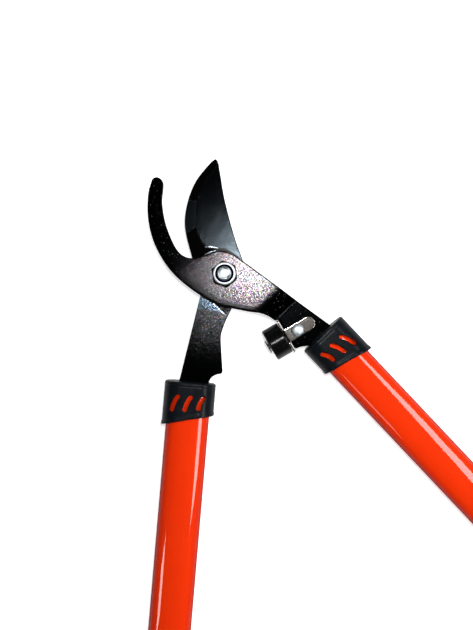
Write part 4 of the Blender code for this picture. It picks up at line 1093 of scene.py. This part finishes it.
def makeBracket():
    # T-shaped blank, bent over the tang: its length coordinate turns from up to back
    half, tab, sheet, inner = bumper["flange"] / 2, bumper["tab"] / 2, bumper["sheet"], bumper["bend"]
    low, root = bumper["flangeLow"], hook["thickness"] / 2 + handle["gap"] - inner
    neutral = inner + sheet / 2                    # radius of the line that keeps its length
    tabStart = root + neutral * math.pi / 2
    tabEnd = tabStart + bumper["tabLength"] - inner - sheet
    quarter = np.linspace(0, math.pi / 2, 14)
    r, c, slit = bumper["flangeRound"], bumper["flangeCorner"], bumper["slit"]
    side = [(0, low)] + [(half - r + r * math.sin(t), low + r - r * math.cos(t)) for t in quarter]
    side += [(half - c + c * math.cos(t), root - c + c * math.sin(t)) for t in quarter]
    side += [(tab + slit, root), (tab + slit, root - 0.5), (tab, root - 0.5), (tab, root)]
    side += [(tab * math.cos(t), tabEnd - tab + tab * math.sin(t)) for t in quarter]
    sideA = evenly(np.array(side), 420)
    blank = plateGrid(plateSides(sideA, sideA * [-1, 1], 1.0), roundedRim(0.3, 0.3, 0, sheet, 5), 22, 0.2)
    x, s, h = (blank[..., i] for i in range(3))
    angle = np.clip((s - root) / neutral, 0, math.pi / 2)
    y = np.minimum(s, root) + (inner + h) * np.sin(angle)
    z = (inner + h) * np.cos(angle) - inner - sheet - np.clip(s - tabStart, 0, None)
    onBumper("stopBracket", np.stack([x, y, z], axis=-1), False, "bumper_bracket",
             zinc["dullZinc"], 40)


def makeCushion():
    # (radius, distance out) round the wall, with a dished front
    look = {"radius": 12.0, "low": 0.3, "top": 13.0, "dish": 6.4, "dishTop": 12.3}
    radius, low, top, dish, dishTop = look.values()
    hole = bumper["hole"]
    profile = filleted([(hole, low), (radius - 0.8, low), (radius - 0.2, low + 0.3), (radius, low + 0.9),
                        (radius, top - 0.9), (radius - 0.2, top - 0.3), (radius - 0.8, top),
                        (dish + 0.5, top), (dish, top - 0.2), (dish - 0.3, dishTop), (hole, dishTop)],
                       0.12, 0.22, True)
    onBumper("cushion", lathe(profile, 160), True, "bumper_cushion", rubber)


def makeBumperWasher():
    # a flat ring with rounded edges
    look = {"radius": 5.8, "low": 12.6, "top": 13.4}
    radius, low, top = look.values()
    hole = bumper["hole"]
    profile = filleted([(hole, low), (radius, low), (radius, top), (hole, top)], 0.06, 0.1, True)
    onBumper("cushionWasher", lathe(profile, 96), True, "bumper_washer", zinc["zincPlate"])


def makeStopRivet():
    # flat head, shank through the cushion, and the closed end behind the flange
    look = {"shank": 2.0, "head": 5.2, "headLow": 13.7, "headTop": 14.9, "end": -1.25}
    shank, head, low, top, end = look.values()
    profile = filleted([(0, top), (3.4, top - 0.02), (4.7, top - 0.3), (head, low + 0.5), (head - 0.05, low),
                        (shank, low), (shank, -0.3), (shank + 1, end), (0, end)], 0.08, 0.12)
    profile[[0, -1], 0] = 0
    onBumper("stopRivet", lathe(profile, 96), False, "bumper_rivet", zinc["darkZinc"])


def makeBracketRivet():
    # domed head on the tab, shank through the tang, and a flatter head behind it
    look = {"radius": 4.55, "low": 4.4, "dome": 2.3, "shank": 2.5, "back": -2.8, "backRadius": 4.0,
            "end": -4.2}
    radius, low, dome, shank, back, backRadius, end = look.values()
    turn = np.linspace(0, math.pi / 2, 30)
    front = np.stack([radius * np.sin(turn), low + dome * np.cos(turn) ** 0.8], axis=1)
    profile = np.concatenate([front, [(radius - 0.1, low), (shank, low), (shank, back), (backRadius, back),
                                      (backRadius, end + 0.5), (backRadius - 0.7, end), (0, end)]])
    profile = filleted(profile, 0.1, 0.14)
    profile[[0, -1], 0] = 0
    grid = lathe(profile, 96)
    # it stands on the tab, so its axis is the frame's height
    grid = np.stack([grid[..., 0], grid[..., 2], -grid[..., 1] - bumper["rivetBack"]], axis=-1)
    onBumper("bracketRivet", grid, False, "bracket_rivet", zinc["domeZinc"])


for build in (makeBracket, makeCushion, makeBumperWasher, makeStopRivet, makeBracketRivet):
    build()

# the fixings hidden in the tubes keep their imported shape
for node, thing in frame["nodes"].items():
    if "tang" in node:
        for place in thing.material_slots:
            place.material = whiteNylon if "plug" in node else zinc["zincPlate"]


# The photographed view: straight down, with the picture turned against the lopper

view = {"turn": math.radians(19.225), "pixel": 0.717, "away": 600.0, "plane": 16.5,
        "centreX": -1.55, "centreY": -30.36, "pictureHeight": 630}
camera = bpy.data.objects.new("camera", bpy.data.cameras.new("camera"))
bpy.context.collection.objects.link(camera)
camera.data.sensor_fit = "AUTO"
camera.data.angle = 2 * math.atan(view["pictureHeight"] * view["pixel"] / 2 / view["away"])
camera.location = (view["centreX"] * mm, view["centreY"] * mm, (view["plane"] + view["away"]) * mm)
camera.rotation_euler = (0, 0, -view["turn"])
bpy.context.scene.camera = camera

# Lamps: places and targets are over the picture, from its middle and the lopper's plane. The
# level is the part of the plain brightness that the lamp gives a flat surface at its target
lamps = {"flash": {"place": (24, 66, 600), "target": (0, 0), "size": (55, 55), "level": 0.5,
                   "colour": (1.0, 0.985, 0.975)},
         "panel": {"place": (956, -30, 1000), "target": (956, -30), "size": (558, 1012), "level": 1.9,
                   "colour": (0.98, 0.99, 1.0)},
         "sideLamp": {"place": (-1039, -598, 1100), "target": (-47, -204), "size": (200, 245),
                      "level": 0.05, "colour": (1.0, 0.98, 0.95)},
         "farLamp": {"place": (-574, -1125, 1100), "target": (106, -55), "size": (200, 260),
                     "level": 0.018, "colour": (1.0, 0.98, 0.95), "spread": 16}}
sky = {"low": 0.42, "high": 0.035, "fade": (0.05, 0.42)}      # strengths, and heights between
paper = {"half": 30000.0, "below": 0.5, "pale": (0.93, 0.93, 0.93), "fleck": (0.9, 0.9, 0.9), "glow": 0.7}


def lamp(name, place, target, size, level, colour, spread=180):
    # soft lamp aimed at its target; a narrow spread keeps its light near that point
    data = bpy.data.lights.new(name, "AREA")
    data.shape = "RECTANGLE"
    data.size, data.size_y = size[0] * mm, size[1] * mm
    data.color = colour
    data.spread = math.radians(spread)
    aim = Vector((place[0] - target[0], place[1] - target[1], place[2])) * mm
    data.energy = level * math.pi ** 2 * aim.length ** 3 / aim.z
    if spread < 180:
        data.energy *= 1 - math.radians(spread / 2) / math.tan(math.radians(spread / 2))
    thing = bpy.data.objects.new(name, data)
    bpy.context.collection.objects.link(thing)
    c, s = math.cos(view["turn"]), math.sin(view["turn"])
    thing.location = Vector((view["centreX"] + place[0] * c + place[1] * s,
                             view["centreY"] - place[0] * s + place[1] * c, view["plane"] + place[2])) * mm
    thing.rotation_euler = (Quaternion((0, 0, 1), -view["turn"]) @ aim.to_track_quat("Z", "Y")).to_euler()
    thing.visible_camera = False
    thing.visible_diffuse = level > 0.1            # the weak ones show in glossy surfaces only


def makeSky():
    # pale near the horizon and dark overhead
    world = bpy.data.worlds.new("studio")
    bpy.context.scene.world = world
    s = Sheet(world, Color=(1.0, 1.0, 1.0))
    coords = s.add("ShaderNodeTexCoord", output="Generated")
    height = s.add("ShaderNodeSeparateXYZ", {}, {0: coords}, "Z")
    s.set(Strength=height.step(*sky["fade"], sky["low"], sky["high"]))


def makeFloor():
    # plain sheet that glows a little wherever it is seen, and keeps the lopper's shadow
    half = paper["half"] * mm
    mesh = bpy.data.meshes.new("floor")
    corners = [(x * half, y * half, -paper["below"] * mm) for x, y in ((-1, -1), (1, -1), (1, 1), (-1, 1))]
    mesh.from_pydata(corners, [], [(0, 1, 2, 3)])
    s = sheetFor("floorPaper", Roughness=0.9, Specular_IOR_Level=0.1, Emission_Strength=paper["glow"])
    s.set(Base_Color=s.mix(paper["pale"], paper["fleck"], s.noise(3.0, 3.0)))
    kinds = ("Is Camera Ray", "Is Glossy Ray", "Is Transmission Ray")
    direct, mirrored, through = (s.add("ShaderNodeLightPath", output=kind) for kind in kinds)
    seen = direct.orMore(mirrored).orMore(through)
    s.set(Emission_Color=s.mix((0.0, 0.0, 0.0), (1.0, 1.0, 1.0), seen))
    mesh.materials.append(s.owner)
    asObject("floor", mesh)


bpy.context.scene.view_settings.view_transform = "Standard"
for name, look in lamps.items():
    lamp(name, **look)
makeSky()
makeFloor()
print("camera, lamps, sky and floor made")
